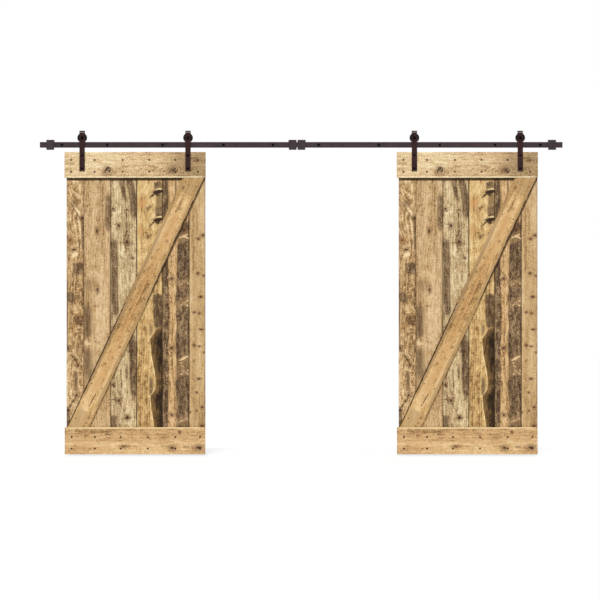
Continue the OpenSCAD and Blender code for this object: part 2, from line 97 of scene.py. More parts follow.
def lattice_noise(x: Array, y: Array, seed: int) -> Array:
    """Smooth noise: random values on whole numbers, blended by the curve 3t^2 - 2t^3.

    Args:
        x: Coordinate in cells.
        y: Coordinate in cells.
        seed: Which of many patterns.

    Returns:
        Values from -1 to 1.
    """
    xi, yi = np.floor(x), np.floor(y)
    xf, yf = x - xi, y - yi
    u, v = xf * xf * (3 - 2 * xf), yf * yf * (3 - 2 * yf)
    near = hash_unit(xi, yi, seed) * (1 - u) + hash_unit(xi + 1, yi, seed) * u
    far = hash_unit(xi, yi + 1, seed) * (1 - u) + hash_unit(xi + 1, yi + 1, seed) * u
    return (near * (1 - v) + far * v) * 2 - 1


def rough_noise(x: Array, y: Array, seed: int, octaves: int = 3) -> Array:
    """Sums octaves of lattice noise, each twice as fine and half as strong as the one before.

    Args:
        x: Coordinate in cells of the first octave.
        y: Coordinate in cells of the first octave.
        seed: Which of many patterns.
        octaves: How many are summed.

    Returns:
        Values from about -1 to 1.
    """
    total, weight = np.zeros(np.broadcast(x, y).shape), 0.0
    for k in range(octaves):
        total += lattice_noise(x * 2**k, y * 2**k, seed + 17 * k) * 0.5**k
        weight += 0.5**k
    return total / weight


def ramp(x: Array, low: float, high: float) -> Array:
    """Rises smoothly from 0 at low to 1 at high, by 3t^2 - 2t^3; high below low makes it fall."""
    t = np.clip((x - low) / (high - low), 0, 1)
    return t * t * (3 - 2 * t)


def linear(hex_colour: str) -> tuple[float, float, float, float]:
    """Turns an sRGB colour linear, by the standard's straight foot and its curve of power 2.4.

    Args:
        hex_colour: The colour as "#RRGGBB".

    Returns:
        Linear red, green, blue and alpha.
    """
    parts = [int(hex_colour[k : k + 2], 16) / 255 for k in (1, 3, 5)]
    made = [c / 12.92 if c <= 0.04045 else ((c + 0.055) / 1.055) ** 2.4 for c in parts]
    return (made[0], made[1], made[2], 1.0)


# ---------------------------------------------------------------- node helper


TIMES = {"operation": "MULTIPLY"}
TIMES_THEN_ADD = {"operation": "MULTIPLY_ADD"}
ADD = {"operation": "ADD"}
FRACTION = {"operation": "FRACT"}
SMOOTH = {"interpolation_type": "SMOOTHSTEP"}
COLOUR = {"data_type": "RGBA"}


def add_node(
    tree: bpy.types.NodeTree, kind: str, settings: dict[str, object], *inputs: object, **named: object
) -> bpy.types.Node:
    """Adds a shader node, with its settings and what goes into the sockets that those leave live.

    Args:
        tree: The material's or the world's node tree.
        kind: The node's type name without "ShaderNode".
        settings: Attributes of the node.
        inputs: What goes into its sockets, in order: a value, a socket, or a node for its first output.
        named: The same by the socket's name, with underscores for spaces.

    Returns:
        The new node.
    """
    node = tree.nodes.new("ShaderNode" + kind)
    for name, value in settings.items():
        setattr(node, name, value)
    live = [socket for socket in node.inputs if socket.enabled]
    by_name = {socket.name.replace(" ", "_"): socket for socket in live}
    for socket, value in [*zip(live, inputs), *((by_name[name], value) for name, value in named.items())]:
        if isinstance(value, bpy.types.Node):
            value = next(output for output in value.outputs if output.enabled)
        if isinstance(value, bpy.types.NodeSocket):
            tree.links.new(value, socket)
        else:
            socket.default_value = value
    return node


def empty_material(name: str) -> tuple[bpy.types.Material, bpy.types.NodeTree]:
    """Makes a material whose node tree holds nothing yet.

    Args:
        name: The material's name.

    Returns:
        The material and its node tree.
    """
    material = bpy.data.materials.new(name)
    material.use_nodes = True
    material.node_tree.nodes.clear()
    return material, material.node_tree


# ---------------------------------------------------------------- wood features


class Stain(Enum):
    """What a band on a board is coloured by."""

    GREY = 0
    BARK = 1
    WARM = 2
    PALE = 3


@dataclass(frozen=True)
class Knot:
    """A knot, in millimetres: its place across and along the board, its half sizes and its darkness."""

    across: float
    along: float
    half_across: float = 9.0
    half_along: float = 12.0
    dark: float = 1.0
    bend: float = 1.0


@dataclass(frozen=True)
class Band:
    """A stained band that runs along a board, in millimetres, with a drift from its start to its end."""

    centre: float
    half: float
    start: float
    end: float
    strength: float = 0.7
    kind: Stain = Stain.GREY
    drift: float = 0.0
    fade: float = 45.0
    soft: float = 0.65
    slant: float = 0.0


@dataclass(frozen=True)
class Stroke:
    """A crack, grain line or painted shade line between two points, in mm: dark, or pale if its darkness is
    below 0.
    """

    across_0: float
    along_0: float
    across_1: float
    along_1: float
    width: float = 3.0
    dark: float = 0.8


@dataclass(frozen=True)
class LiveEdge:
    """Bark left along the right side of a plank: its edge steps in, then drifts back, over and over.

    All in millimetres, but climb, which is the share of each period over which the edge drifts back.
    """

    start: float
    near: float
    swing: float
    period: float
    phase: float
    climb: float = 0.8
    waves: float = 5.0
    wave_length: float = 60.0
    closing: float = 80.0
    closes_over: float = 60.0

    def edge(self, along: Array, seed: int) -> Array:
        """Where the bark begins: near plus swing times a sawtooth, small waves, and a close at its start.

        Args:
            along: Distance along the plank, in millimetres.
            seed: Which of many patterns of small waves.

        Returns:
            The distance across the plank at which the bark begins.
        """
        t = ((along - self.phase) / self.period) % 1.0
        saw = np.where(t < self.climb, t / self.climb, (1 - t) / (1 - self.climb))
        waves = self.waves * rough_noise(along / self.wave_length, along * 0, seed, 3)
        closing = self.closing * ramp(along, self.start + self.closes_over, self.start)
        return self.near + self.swing * ramp(saw, 0, 1) + waves + closing


# Cells of the wood's noises in millimetres, across by along the grain, then what sets each apart and its
# detail: bands, patches, fibres drawn coarser than real ones so that they show from afar, hairs, specks of
# stain, and the marks of the band saw
GRAIN_CELLS = (
    (36, 700, 1.0, 3.0), (22, 55, 3.0, 4.0), (4, 50, 5.0, 4.0), (1.0, 24, 11.0, 2.0), (8, 10, 7.0, 2.0),
    (34, 3, 9.0, 2.0),
)
# How rough each noise is, from one octave to the next
GRAIN_ROUGHNESS = 0.62
# The bark's flakes: how much the specks count, how strong all are, and the mean of what they are summed from
FLAKE_SPECKS = 0.6
FLAKE_CONTRAST = 1.4
FLAKE_MEAN = 1.3


@dataclass(frozen=True)
class WoodFinish:
    """Knotty pine, band sawn, brushed and brown stained: its colours and the strength of its figure.

    The saw leaves a speckled, dull face; the stain sinks deeper into the early wood, so fibres, rings and
    patches show as tan on brown, and old weathered stretches stay grey-brown. From rings to kerf, each
    field is the strength of one part of the figure, and the rest are colours.
    """

    name: str
    pale: str
    tan: str
    line: str
    slot: str
    ring_spacing: float = 15.0
    rings: float = 0.2
    bands: float = 0.9
    mottle: float = 1.5
    fibre: float = 0.6
    hair: float = 0.5
    speck: float = 1.5
    kerf: float = 0.65
    dark: str = "#43301F"
    weathered: str = "#B3946C"
    warm: str = "#B48250"
    knot: str = "#3F2A1B"
    halo: str = "#8C6846"
    # Colour of the cracks, and of the painted shade at the edges, below the top board and along shade lines
    crack_and_shade_colour: str = "#2E1E12"
    bark: str = "#7E6038"
    inner_bark: str = "#21160B"

    def material(self) -> bpy.types.Material:
        """Builds the shader.

        The board's attributes carry the slow figure. grain holds the distance across, bent round the knots,
        the distance along and a seed. marks holds the distance to the nearest knot in knot sizes, the depth
        of the cracks, dents and lines of painted shade, and the painted shade at the board's sides and below
        the top board.
        stain holds the grey, bark and warm stretches. tone holds the lightness, the pale stretches with the
        painted highlight lines along the cross boards' edges, and the distance from the tree's heart. Noise
        drawn out along the grain adds bands and fibres, and a saw of the heart distance adds growth rings, so
        both flow round the knots.

        Returns:
            The material.
        """
        material, tree = empty_material(self.name)
        grain, marks, stain, slow = (
            add_node(tree, "Attribute", {"attribute_name": name}).outputs["Vector"]
            for name in ("grain", "marks", "stain", "tone")
        )
        knot, crack_and_shade, edge = add_node(tree, "SeparateXYZ", {}, marks).outputs
        grey, bark, warm = add_node(tree, "SeparateXYZ", {}, stain).outputs
        tone, pale_patch, heart = add_node(tree, "SeparateXYZ", {}, slow).outputs

        cells = [
            (add_node(tree, "VectorMath", TIMES, grain, (1 / across, 1 / along, apart)), detail)
            for across, along, apart, detail in GRAIN_CELLS
        ]
        band, mottle, fibre, hair, speck, kerf = (
            add_node(tree, "TexNoise", {}, cell, 1.0, detail, GRAIN_ROUGHNESS) for cell, detail in cells
        )
        swings = (
            (band, self.bands), (mottle, self.mottle), (fibre, self.fibre), (hair, self.hair),
            (speck, self.speck), (kerf, self.kerf),
        )
        # The swings are centred on 0, because each noise's mean is a half
        ragged: bpy.types.Node | float = -sum(amount for _, amount in swings) / 2
        for noise, amount in swings:
            ragged = add_node(tree, "Math", TIMES_THEN_ADD, noise, amount, ragged)
        light = add_node(tree, "Math", TIMES_THEN_ADD, tone, 0.5, add_node(tree, "Math", ADD, ragged, 0.55))

        # Growth rings: each darkens slowly through its late wood and ends at once
        phase = add_node(tree, "Math", TIMES_THEN_ADD, heart, 1 / self.ring_spacing, mottle)
        turn = add_node(tree, "Math", FRACTION, add_node(tree, "Math", TIMES_THEN_ADD, band, 1.5, phase))
        rings = add_node(
            tree, "Math", TIMES, add_node(tree, "MapRange", SMOOTH, turn, 0.3, 0.85),
            add_node(tree, "MapRange", SMOOTH, turn, 0.88, 1.0, 1.0, 0.0),
        )
        light = add_node(tree, "Math", TIMES_THEN_ADD, rings, -self.rings, light)

        # Late wood, early wood and the palest early wood, by how light the face is
        late = add_node(tree, "MapRange", SMOOTH, light, 0.0, 0.5)
        colour = add_node(tree, "Mix", COLOUR, late, linear(self.line), linear(self.tan))
        early = add_node(tree, "MapRange", SMOOTH, light, 0.4, 1.05)
        colour = add_node(tree, "Mix", COLOUR, early, colour, linear(self.pale))

        # Stretches of resin, weathering and cream sapwood, with ragged borders; the pale part also paints
        # highlight lines along the cross boards' edges
        uneven = add_node(tree, "Math", TIMES, ragged, 0.5)
        shaded = add_node(tree, "MapRange", SMOOTH, ragged, -0.25, 0.85)
        streaked = add_node(tree, "Mix", COLOUR, shaded, linear(self.dark), linear(self.weathered))
        for stretch, low, high, most, over in (
            (warm, 0.2, 0.8, 0.8, linear(self.warm)),
            (grey, 0.15, 0.7, 0.93, streaked),
            (pale_patch, 0.2, 0.8, 0.9, linear(self.pale)),
        ):
            near = add_node(tree, "MapRange", SMOOTH, stretch, 0.0, 0.25)
            border = add_node(tree, "Math", TIMES_THEN_ADD, uneven, near, stretch)
            part = add_node(tree, "MapRange", SMOOTH, border, low, high, 0.0, most)
            colour = add_node(tree, "Mix", COLOUR, part, colour, over)

        # Bark: flakes on a dark inner bark, which shows more the further it lies from its edge
        barkness = add_node(tree, "Math", TIMES_THEN_ADD, uneven, 0.25, bark)
        barkness = add_node(tree, "MapRange", SMOOTH, barkness, 0.42, 0.6)
        specks = add_node(tree, "Math", TIMES_THEN_ADD, speck, FLAKE_SPECKS, mottle)
        flakes = add_node(tree, "Math", ADD, specks, fibre)
        inward = add_node(tree, "Math", ADD, bark, FLAKE_CONTRAST * FLAKE_MEAN)
        flakes = add_node(tree, "Math", TIMES_THEN_ADD, flakes, -FLAKE_CONTRAST, inward)
        inner = add_node(tree, "MapRange", SMOOTH, flakes, 0.55, 1.6)
        bark_tone = add_node(tree, "Mix", COLOUR, inner, linear(self.bark), linear(self.inner_bark))
        colour = add_node(tree, "Mix", COLOUR, barkness, colour, bark_tone)

        # Knots: a brown halo, rings like a whorl, a dark rim and a lighter middle; then cracks with painted
        # shade lines, and painted shade at the edges and below the top board
        outline = add_node(tree, "Math", TIMES_THEN_ADD, uneven, 0.9, knot)
        whorl = add_node(tree, "Math", TIMES_THEN_ADD, knot, 1.6, mottle)
        whorl = add_node(tree, "MapRange", SMOOTH, add_node(tree, "Math", FRACTION, whorl), 0.4, 0.75)
        fading = add_node(tree, "MapRange", SMOOTH, knot, 1.2, 3.2, 0.6, 0.0)
        for part, over in (
            (add_node(tree, "MapRange", SMOOTH, outline, 1.0, 3.0, 0.55, 0.0), self.halo),
            (add_node(tree, "Math", TIMES, whorl, fading), self.knot),
            (add_node(tree, "MapRange", SMOOTH, outline, 0.7, 1.2, 0.9, 0.0), self.knot),
            (add_node(tree, "MapRange", SMOOTH, crack_and_shade, 0.08, 0.7, 0.0, 0.95), self.crack_and_shade_colour),
            (add_node(tree, "MapRange", SMOOTH, edge, 0.1, 0.95, 0.0, 0.9), self.crack_and_shade_colour),
        ):
            colour = add_node(tree, "Mix", COLOUR, part, colour, linear(over))

        # Height: fibres and hairs, rings and saw marks pressed in, and flakes on the bark
        height = add_node(tree, "Math", TIMES_THEN_ADD, rings, -0.5, fibre)
        height = add_node(tree, "Math", TIMES_THEN_ADD, hair, 0.5, height)
        height = add_node(tree, "Math", TIMES_THEN_ADD, kerf, 0.8, height)
        height = add_node(tree, "Math", TIMES_THEN_ADD, barkness, speck, height)
        shader = add_node(
            tree, "BsdfPrincipled", {}, Base_Color=colour, IOR=1.5, Specular_IOR_Level=0.12,
            Roughness=add_node(tree, "MapRange", SMOOTH, fibre, 0.2, 0.8, 0.78, 0.62),
            Normal=add_node(tree, "Bump", {}, Height=height, Distance=0.0006, Strength=0.9),
        )
        add_node(tree, "OutputMaterial", {}, shader)
        return material


# ---------------------------------------------------------------- boards


# Tongue along a plank's right side: how far it reaches, half its thickness, and the spare room in its groove
TONGUE_REACH = 6.0
TONGUE_HALF = 3.0
GROOVE_SPARE = 0.5
# The distance to a knot, in knot sizes, where there is none near
FAR_FROM_KNOTS = 6.0
# Each wood screw's dark dent: from this far out to full depth this far out, and its strength
DENT_EDGE = 10.0
DENT_FLOOR = 4.0
DENT_DARK = 0.8


@dataclass(frozen=True)
class HeartLine:
    """The tree's heart under a board, in millimetres; its place and wander are shares of the width."""

    from_share: float = 0.2
    to_share: float = 0.8
    wander: float = 0.22
    wander_length: float = 900.0
    depth: float = 30.0
    swing: float = 22.0
    swing_length: float = 620.0
    ripple: float = 5.0


@dataclass(frozen=True)
class Relief:
    """How far the marks press a board's surface in, in millimetres."""

    face: float = 0.25
    fibres: float = 0.22
    crack_and_shade: float = 1.3
    knot_rim: float = 0.5
    knot_heart: float = 0.3
    bark: float = 2.2
    flakes: float = 1.2
    least: float = 0.05
    most: float = 4.5
    back: float = 0.2
    side: float = 0.9


@dataclass
class BoardShape:
    """Where a board lies: its faces across, its level or slanting ends, and how its axes turn into the frame.

    All sizes are millimetres. across and along are the board's own axes, and depth runs from front to back.
    """

    low: float
    high: float
    thick: float
    start: Callable[[Array], Array]
    end: Callable[[Array], Array]
    place: Callable[[Array, Array, Array], Array]
    tongue: bool = False
    groove: bool = False


@dataclass
class Board:
    """One board or plank: its node, its shape, its finish and every mark on it."""

    piece: str
    node: str
    body: str
    shape: BoardShape
    finish: WoodFinish
    seed: int
    knots: list[Knot] = field(default_factory=list)
    bands: list[Band] = field(default_factory=list)
    strokes: list[Stroke] = field(default_factory=list)
    tones: list[Band] = field(default_factory=list)
    screws: list[tuple[float, float]] = field(default_factory=list)
    live_edge: LiveEdge | None = None
    edge_shade: float = 0.8
    shaded_to: float = -1e6
    cell_across: float = 3.6
    cell_along: float = 7.2
    round_edge: float = 2.4
    heart_line: HeartLine = HeartLine()
    relief: Relief = Relief()

    def profile(self) -> Array:
        """The section's closed outline: a dense front, eased corners, tongue or groove, and a plain back.

        A corner is a quarter circle round its centre, by the sine and cosine of the angle from the front.

        Returns:
            Rows of the distance across and the depth.
        """
        sh, r = self.shape, self.round_edge
        middle = sh.thick / 2
        turn = np.linspace(0, math.pi / 2, 4)
        count = max(8, int((sh.high - sh.low) / self.cell_across))
        front = np.linspace(sh.low + r, sh.high - r, count)
        back = np.linspace(sh.high - r, sh.low + r, max(4, count // 4))

        def corner(quarter: int, across: float, depth: float, turned: Array) -> Array:
            """A rounded corner about its centre, after so many quarter turns from the front."""
            angle = quarter * math.pi / 2 + turned
            return np.stack([across + r * np.sin(angle), depth - r * np.cos(angle)], -1)

        def joint(edge: float, reach: float, half: float) -> Array:
            """A tongue's four corners, or a groove's, where half its thickness is given below 0."""
            corners = [(edge, -half), (edge + reach, -half), (edge + reach, half), (edge, half)]
            return np.array(corners) + (0.0, middle)

        none = np.empty((0, 2))
        return np.concatenate([
            np.stack([front, np.zeros(front.shape)], -1),
            corner(0, sh.high - r, r, turn[1:]),
            joint(sh.high, TONGUE_REACH, TONGUE_HALF) if sh.tongue else none,
            corner(1, sh.high - r, sh.thick - r, turn[:-1]),
            np.stack([back, np.full(back.shape, sh.thick)], -1),
            corner(2, sh.low + r, sh.thick - r, turn[1:]),
            joint(sh.low, TONGUE_REACH + GROOVE_SPARE, -TONGUE_HALF) if sh.groove else none,
            corner(3, sh.low + r, r, turn[:-1]),
        ])

    def growth(self, across: Array, along: Array, depth: Array) -> tuple[Array, Array, Array]:
        """Works out how the wood grew: where its heart lay, and how its grain turns round its knots.

        The heart distance is the length from the tree's heart line, which wanders under the board, so its
        level lines are the arched and straight figure of a sawn face; a bump at each knot bends it round.

        Args:
            across: Distance across the board.
            along: Distance along the board.
            depth: Distance behind the front face.

        Returns:
            The distance to the nearest knot in knot sizes, the distance across along the bent grain, and the
            heart distance.
        """
        sh, seed, line = self.shape, self.seed, self.heart_line
        width = sh.high - sh.low
        rnd = np.random.default_rng(seed)
        wander = line.wander * width * lattice_noise(along / line.wander_length, along * 0, seed + 3)
        heart_x = sh.low + width * rnd.uniform(line.from_share, line.to_share) + wander
        swing = line.swing * lattice_noise(along / line.swing_length, along * 0, seed + 5)
        heart = np.hypot(across - heart_x, line.depth + swing + depth)
        heart = heart + line.ripple * rough_noise(across / 45, along / 260, seed + 7)
        nearest = np.full(across.shape, FAR_FROM_KNOTS)
        bent = across + 6.0 * lattice_noise(along / 240, across / 80, seed + 9)
        wobble = 0.14 * lattice_noise(across / 6, along / 6, seed + 11)
        for k in self.knots:
            dx, dz = (across - k.across) / k.half_across, (along - k.along) / k.half_along
            nearest = np.minimum(nearest, np.sqrt(dx**2 + dz**2) + wobble + (1 - k.dark) * 1.2)
            heart = heart + k.bend * 1.5 * k.half_across * np.exp(-(dx**2 + (dz * 0.5) ** 2) / 7)
            bent = bent - 0.75 * k.bend * (across - k.across) * np.exp(-(dx**2) / 9 - dz**2 / 16)
        return nearest, bent, heart

    def stains(self, across: Array, along: Array, front: Array) -> dict[Stain, Array]:
        """Lays the stained bands and the live edge on the front, and weathered streaks on the back.

        A band is 1 on its centre line, which waves and drifts, and falls to 0 past its half width and its
        ends; the strongest band wins. Bark starts at the live edge, with a pale line just before it.

        Args:
            across: Distance across the board.
            along: Distance along the board.
            front: 1 on the front face, falling to 0 at the back.

        Returns:
            The strength of each stain.
        """
        seed = self.seed
        stain = {kind: np.zeros(across.shape) for kind in Stain}
        streaks = ramp(rough_noise(across / 50, along / 600, seed + 51), 0.15, 0.45)
        stain[Stain.GREY] = 0.6 * streaks * (1 - front)
        for b in self.bands:
            share = np.clip((along - b.start) / max(1.0, b.end - b.start), 0, 1)
            wave = b.half * 0.28 * rough_noise(along / 110, along * 0, seed + 13 + int(b.centre) % 7, 3)
            off = np.abs(across - (b.centre + b.drift * share + wave)) / b.half
            inside = ramp(off, 1 + b.soft, 1 - b.soft)
            reach = along + b.slant * (across - b.centre)
            reach = reach + (6 + b.fade / 3) * rough_noise(across / 14, along / 30, seed + 15, 2)
            begun = ramp(reach, b.start - b.fade, b.start + b.fade)
            ends = begun * ramp(reach, b.end + b.fade, b.end - b.fade)
            stain[b.kind] = np.maximum(stain[b.kind], b.strength * inside * ends * front)
        if self.live_edge is not None:
            off = across - self.live_edge.edge(along, seed + 19)
            on = ramp(along, self.live_edge.start - 25, self.live_edge.start + 25) * front
            stain[Stain.BARK] = np.clip(0.5 + off / 12, 0, 1) * on + 0.5 * on * ramp(off, 10, 60)
            pale = on * ramp(np.abs(off + 4), 5, 1)
            pale = pale * (0.6 + 0.5 * lattice_noise(across / 30, along / 30, seed + 21))
            stain[Stain.PALE] = np.maximum(stain[Stain.PALE], pale)
        return stain

    def cracks(self, across: Array, along: Array, front: Array) -> tuple[Array, Array]:
        """Draws the strokes and the dents round the screws.

        A stroke is strong where the distance to its line, which sways, is under its width; it tapers to both
        ends by a sine and is broken up by noise.

        Args:
            across: Distance across the board.
            along: Distance along the board.
            front: 1 on the front face, falling to 0 at the back.

        Returns:
            The dark strokes with the dents, and the pale strokes.
        """
        seed = self.seed
        crack_and_shade, pale = np.zeros(across.shape), np.zeros(across.shape)
        sway = 2.0 * lattice_noise(along / 30, across / 30, seed + 23)
        broken = 0.75 + 0.45 * lattice_noise(across / 9, along / 9, seed + 27)
        for k in self.strokes:
            run = np.array([k.across_1 - k.across_0, k.along_1 - k.along_0])
            t = ((across - k.across_0) * run[0] + (along - k.along_0) * run[1]) / (run @ run)
            t = np.clip(t, 0, 1)
            gap = np.hypot(across - k.across_0 - t * run[0] + sway, along - k.along_0 - t * run[1])
            taper = k.width * (0.45 + 0.55 * np.sin(math.pi * np.clip(t, 0.03, 0.97)))
            drawn = abs(k.dark) * broken * front * ramp(gap, taper * 1.7 + 1.5, taper * 0.2)
            if k.dark > 0:
                crack_and_shade = np.maximum(crack_and_shade, drawn)
            else:
                pale = np.maximum(pale, drawn)
        for x, z in self.screws:
            dent = ramp(np.hypot(across - x, along - z), DENT_EDGE, DENT_FLOOR)
            crack_and_shade = np.maximum(crack_and_shade, DENT_DARK * front * dent)
        return crack_and_shade, pale

    def figure(self, across: Array, along: Array, depth: Array) -> dict[str, Array]:
        """Works out the slow figure of the wood at each point.

        The lightness is broad noise and soft ovals, one for each tone. Painted shade darkens the last few
        millimetres of each side, where boards meet, and the front above a line just below the top board's
        foot, where that board's shadow falls.

        Args:
            across: Distance across the board.
            along: Distance along the board.
            depth: Distance behind the front face.

        Returns:
            Named arrays of three numbers a point: grain, marks, stain and tone.
        """
        sh, seed = self.shape, self.seed
        front = ramp(depth, 0.6 * sh.thick, 0.3 * sh.thick)
        nearest, bent, heart = self.growth(across, along, depth)
        stain = self.stains(across, along, front)
        crack_and_shade, pale = self.cracks(across, along, front)
        tone = 0.6 * rough_noise(across / 60, along / 500, seed + 29)
        for b in self.tones:
            off_along = (along - (b.start + b.end) / 2) / ((b.end - b.start) / 2)
            off = np.hypot((across - b.centre) / b.half, off_along)
            tone = tone + b.strength * ramp(off, 1.3, 0.3)
        side = np.minimum(across - sh.low, sh.high - across)
        # Painted shade at both sides, where boards meet, and on the front just below the top board
        painted_shade = self.edge_shade * ramp(side + 2.0 * lattice_noise(along / 40, across / 9, seed + 31), 6.5, 0.5)
        painted_shade = np.maximum(painted_shade, 0.85 * front * ramp(along, self.shaded_to, self.shaded_to - 12))
        sheet = (seed % 97) * 3.1 + depth / 15
        return {
            "grain": np.stack([bent, along, sheet], -1),
            "marks": np.stack([nearest, crack_and_shade, painted_shade], -1),
            "stain": np.stack([stain[Stain.GREY], stain[Stain.BARK], stain[Stain.WARM]], -1),
            "tone": np.stack([tone, np.maximum(stain[Stain.PALE], pale), heart], -1),
        }

    def build(self, material: bpy.types.Material) -> bpy.types.Object:
        """Sweeps the section along the board, closes its ends and stores the figure.

        Each ring of the sweep is the section moved along the board; within a few millimetres of an end it
        shrinks towards the middle line by the curve of a quarter circle, which rounds the end's edges.
        Then cracks, knots, bark and fibres press the front in, as the relief says.

        Args:
            material: What dresses the board.

        Returns:
            The finished object.
        """
        sh, r, relief = self.shape, self.round_edge * 0.7, self.relief
        section_across, section_depth = self.profile().T
        start, end = sh.start(section_across), sh.end(section_across)
        length = float(np.mean(end - start))
        rows = max(12, int(length / self.cell_along))
        v = np.concatenate([[0.0, 0.6], np.linspace(2.5, length - 2.5, rows), [length - 0.6, length]])
        near_end = np.minimum(v, length - v)
        ease = (r - np.sqrt(np.clip(r * r - np.clip(r - near_end, 0, r) ** 2, 0, None)))[:, None]
        middle, half = (sh.low + sh.high) / 2, (sh.high - sh.low) / 2
        across = np.repeat(section_across[None, :], len(v), 0)
        depth = np.repeat(section_depth[None, :], len(v), 0)
        along = start[None, :] + (v / length)[:, None] * (end - start)[None, :]
        figure = self.figure(across, along, depth)

        outwards = np.sign(across - middle)
        wander = relief.side * (0.5 + 0.5 * rough_noise(along / 70, outwards, self.seed + 37))
        at_side = ramp(np.abs(across - middle), half - 9, half - 1)
        across = across - outwards * (ease + wander * at_side)
        knot, crack_and_shade = figure["marks"][..., 0], figure["marks"][..., 1]
        flakes = relief.bark + relief.flakes * rough_noise(across / 9, along / 25, self.seed + 43)
        press = relief.face + relief.fibres * rough_noise(across / 14, along / 120, self.seed + 41)
        press = press + relief.crack_and_shade * crack_and_shade + relief.knot_rim * ramp(knot, 1.2, 0.9)
        press = press - relief.knot_heart * ramp(knot, 0.8, 0.3)
        press = press + ramp(figure["stain"][..., 1], 0.45, 0.6) * flakes
        press = np.clip(press, relief.least, relief.most) + ease
        on_front, on_back = ramp(depth, 3.0, 0.0), ramp(depth, sh.thick - 3.0, sh.thick)
        depth = depth + press * on_front - (relief.back + ease) * on_back

        points = sh.place(across, along, depth) * MM
        index = np.arange(across.size).reshape(across.shape)
        after = np.roll(index, -1, 1)
        quads = np.stack([index[:-1], after[:-1], after[1:], index[1:]], -1).reshape(-1, 4)
        caps = [index[0][::-1].tolist(), index[-1].tolist()]
        obj = make_mesh(self.piece, points.reshape(-1, 3), [*quads.tolist(), *caps], material)
        for name, values in figure.items():
            layer = obj.data.attributes.new(name, "FLOAT_VECTOR", "POINT")
            layer.data.foreach_set("vector", values.reshape(-1, 3).astype(np.float32).ravel())
        outward(obj)
        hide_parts(self.node)
        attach(obj, self.body)
        return obj


def make_mesh(
    name: str, points: Array, faces: list[list[int]], material: bpy.types.Material, smooth: bool = True
) -> bpy.types.Object:
    """Puts points and faces into a new mesh object.

    Args:
        name: The piece's name.
        points: Places in metres.
        faces: Lists of point numbers.
        material: What dresses it.
        smooth: Whether its faces are shaded smooth, up to the sharp angle.

    Returns:
        The object, linked to the scene.
    """
    mesh = bpy.data.meshes.new(name)
    mesh.from_pydata(points.tolist(), [], faces)
    mesh.materials.append(material)
    obj = bpy.data.objects.new(name, mesh)
    bpy.context.scene.collection.objects.link(obj)
    if smooth:
        mesh.shade_smooth()
        mesh.set_sharp_from_angle(angle=math.radians(SHARP_ANGLE))
    return obj


def outward(obj: bpy.types.Object) -> None:
    """Turns a closed mesh's faces outwards.

    Args:
        obj: The mesh's object.
    """
    bm = bmesh.new()
    bm.from_mesh(obj.data)
    bmesh.ops.recalc_face_normals(bm, faces=bm.faces)
    bm.to_mesh(obj.data)
    bm.free()


# ---------------------------------------------------------------- metal and rubber finishes


@dataclass(frozen=True)
class CoatedMetal:
    """Steel with a baked or blackened coat: satin, with the faint orange peel and dust of a thin film.

    The sizes in millimetres are the cells of its patterns: peel and dust are drawn coarser than real ones.
    """

    name: str
    colour: str
    light: str
    roughness: float = 0.42
    specular: float = 0.5
    dust: str = "#8A7A70"
    peel_mm: float = 1.6
    cloud_mm: float = 60.0
    dust_mm: float = 0.6

    def material(self) -> bpy.types.Material:
        """Builds the shader on Object coordinates; the film hides the metal, so it isn't metallic.

        Returns:
            The material.
        """
        material, tree = empty_material(self.name)
        where = add_node(tree, "TexCoord", {}).outputs["Object"]
        cloud = add_node(tree, "TexNoise", {}, where, 1000 / self.cloud_mm, 3.0, 0.6)
        peel = add_node(tree, "TexNoise", {}, where, 1000 / self.peel_mm, 2.0, 0.5)
        dust = add_node(tree, "TexNoise", {}, where, 1000 / self.dust_mm, 1.0, 0.5)
        part = add_node(tree, "MapRange", SMOOTH, cloud, 0.3, 0.7)
        colour = add_node(tree, "Mix", COLOUR, part, linear(self.colour), linear(self.light))
        part = add_node(tree, "MapRange", SMOOTH, dust, 0.62, 0.75, 0.0, 0.25)
        colour = add_node(tree, "Mix", COLOUR, part, colour, linear(self.dust))
        gloss = (self.roughness - 0.05, self.roughness + 0.08)
        shader = add_node(
            tree, "BsdfPrincipled", {}, Base_Color=colour, IOR=1.5, Specular_IOR_Level=self.specular,
            Roughness=add_node(tree, "MapRange", SMOOTH, cloud, 0.3, 0.7, *gloss),
            Normal=add_node(tree, "Bump", {}, Height=peel, Distance=0.00012, Strength=0.5),
        )
        add_node(tree, "OutputMaterial", {}, shader)
        return material


@dataclass(frozen=True)
class GroundSteel:
    """Bearing steel, turned and ground: bright, with a fine uneven sheen, drawn coarser than real."""

    name: str
    colour: str = "#B9B9BC"
    shade: str = "#8E8E92"
    roughness: float = 0.3
    grind_mm: float = 1.2

    def material(self) -> bpy.types.Material:
        """Builds the shader on Object coordinates.

        Returns:
            The material.
        """
        material, tree = empty_material(self.name)
        where = add_node(tree, "TexCoord", {}).outputs["Object"]
        fine = add_node(tree, "TexNoise", {}, where, 1000 / self.grind_mm, 2.0, 0.6)
        gloss = (self.roughness, self.roughness + 0.15)
        shader = add_node(
            tree, "BsdfPrincipled", {}, Metallic=1.0,
            Base_Color=add_node(tree, "Mix", COLOUR, fine, linear(self.colour), linear(self.shade)),
            Roughness=add_node(tree, "MapRange", SMOOTH, fine, 0.2, 0.8, *gloss),
            Normal=add_node(tree, "Bump", {}, Height=fine, Distance=0.00002, Strength=0.4),
        )
        add_node(tree, "OutputMaterial", {}, shader)
        return material


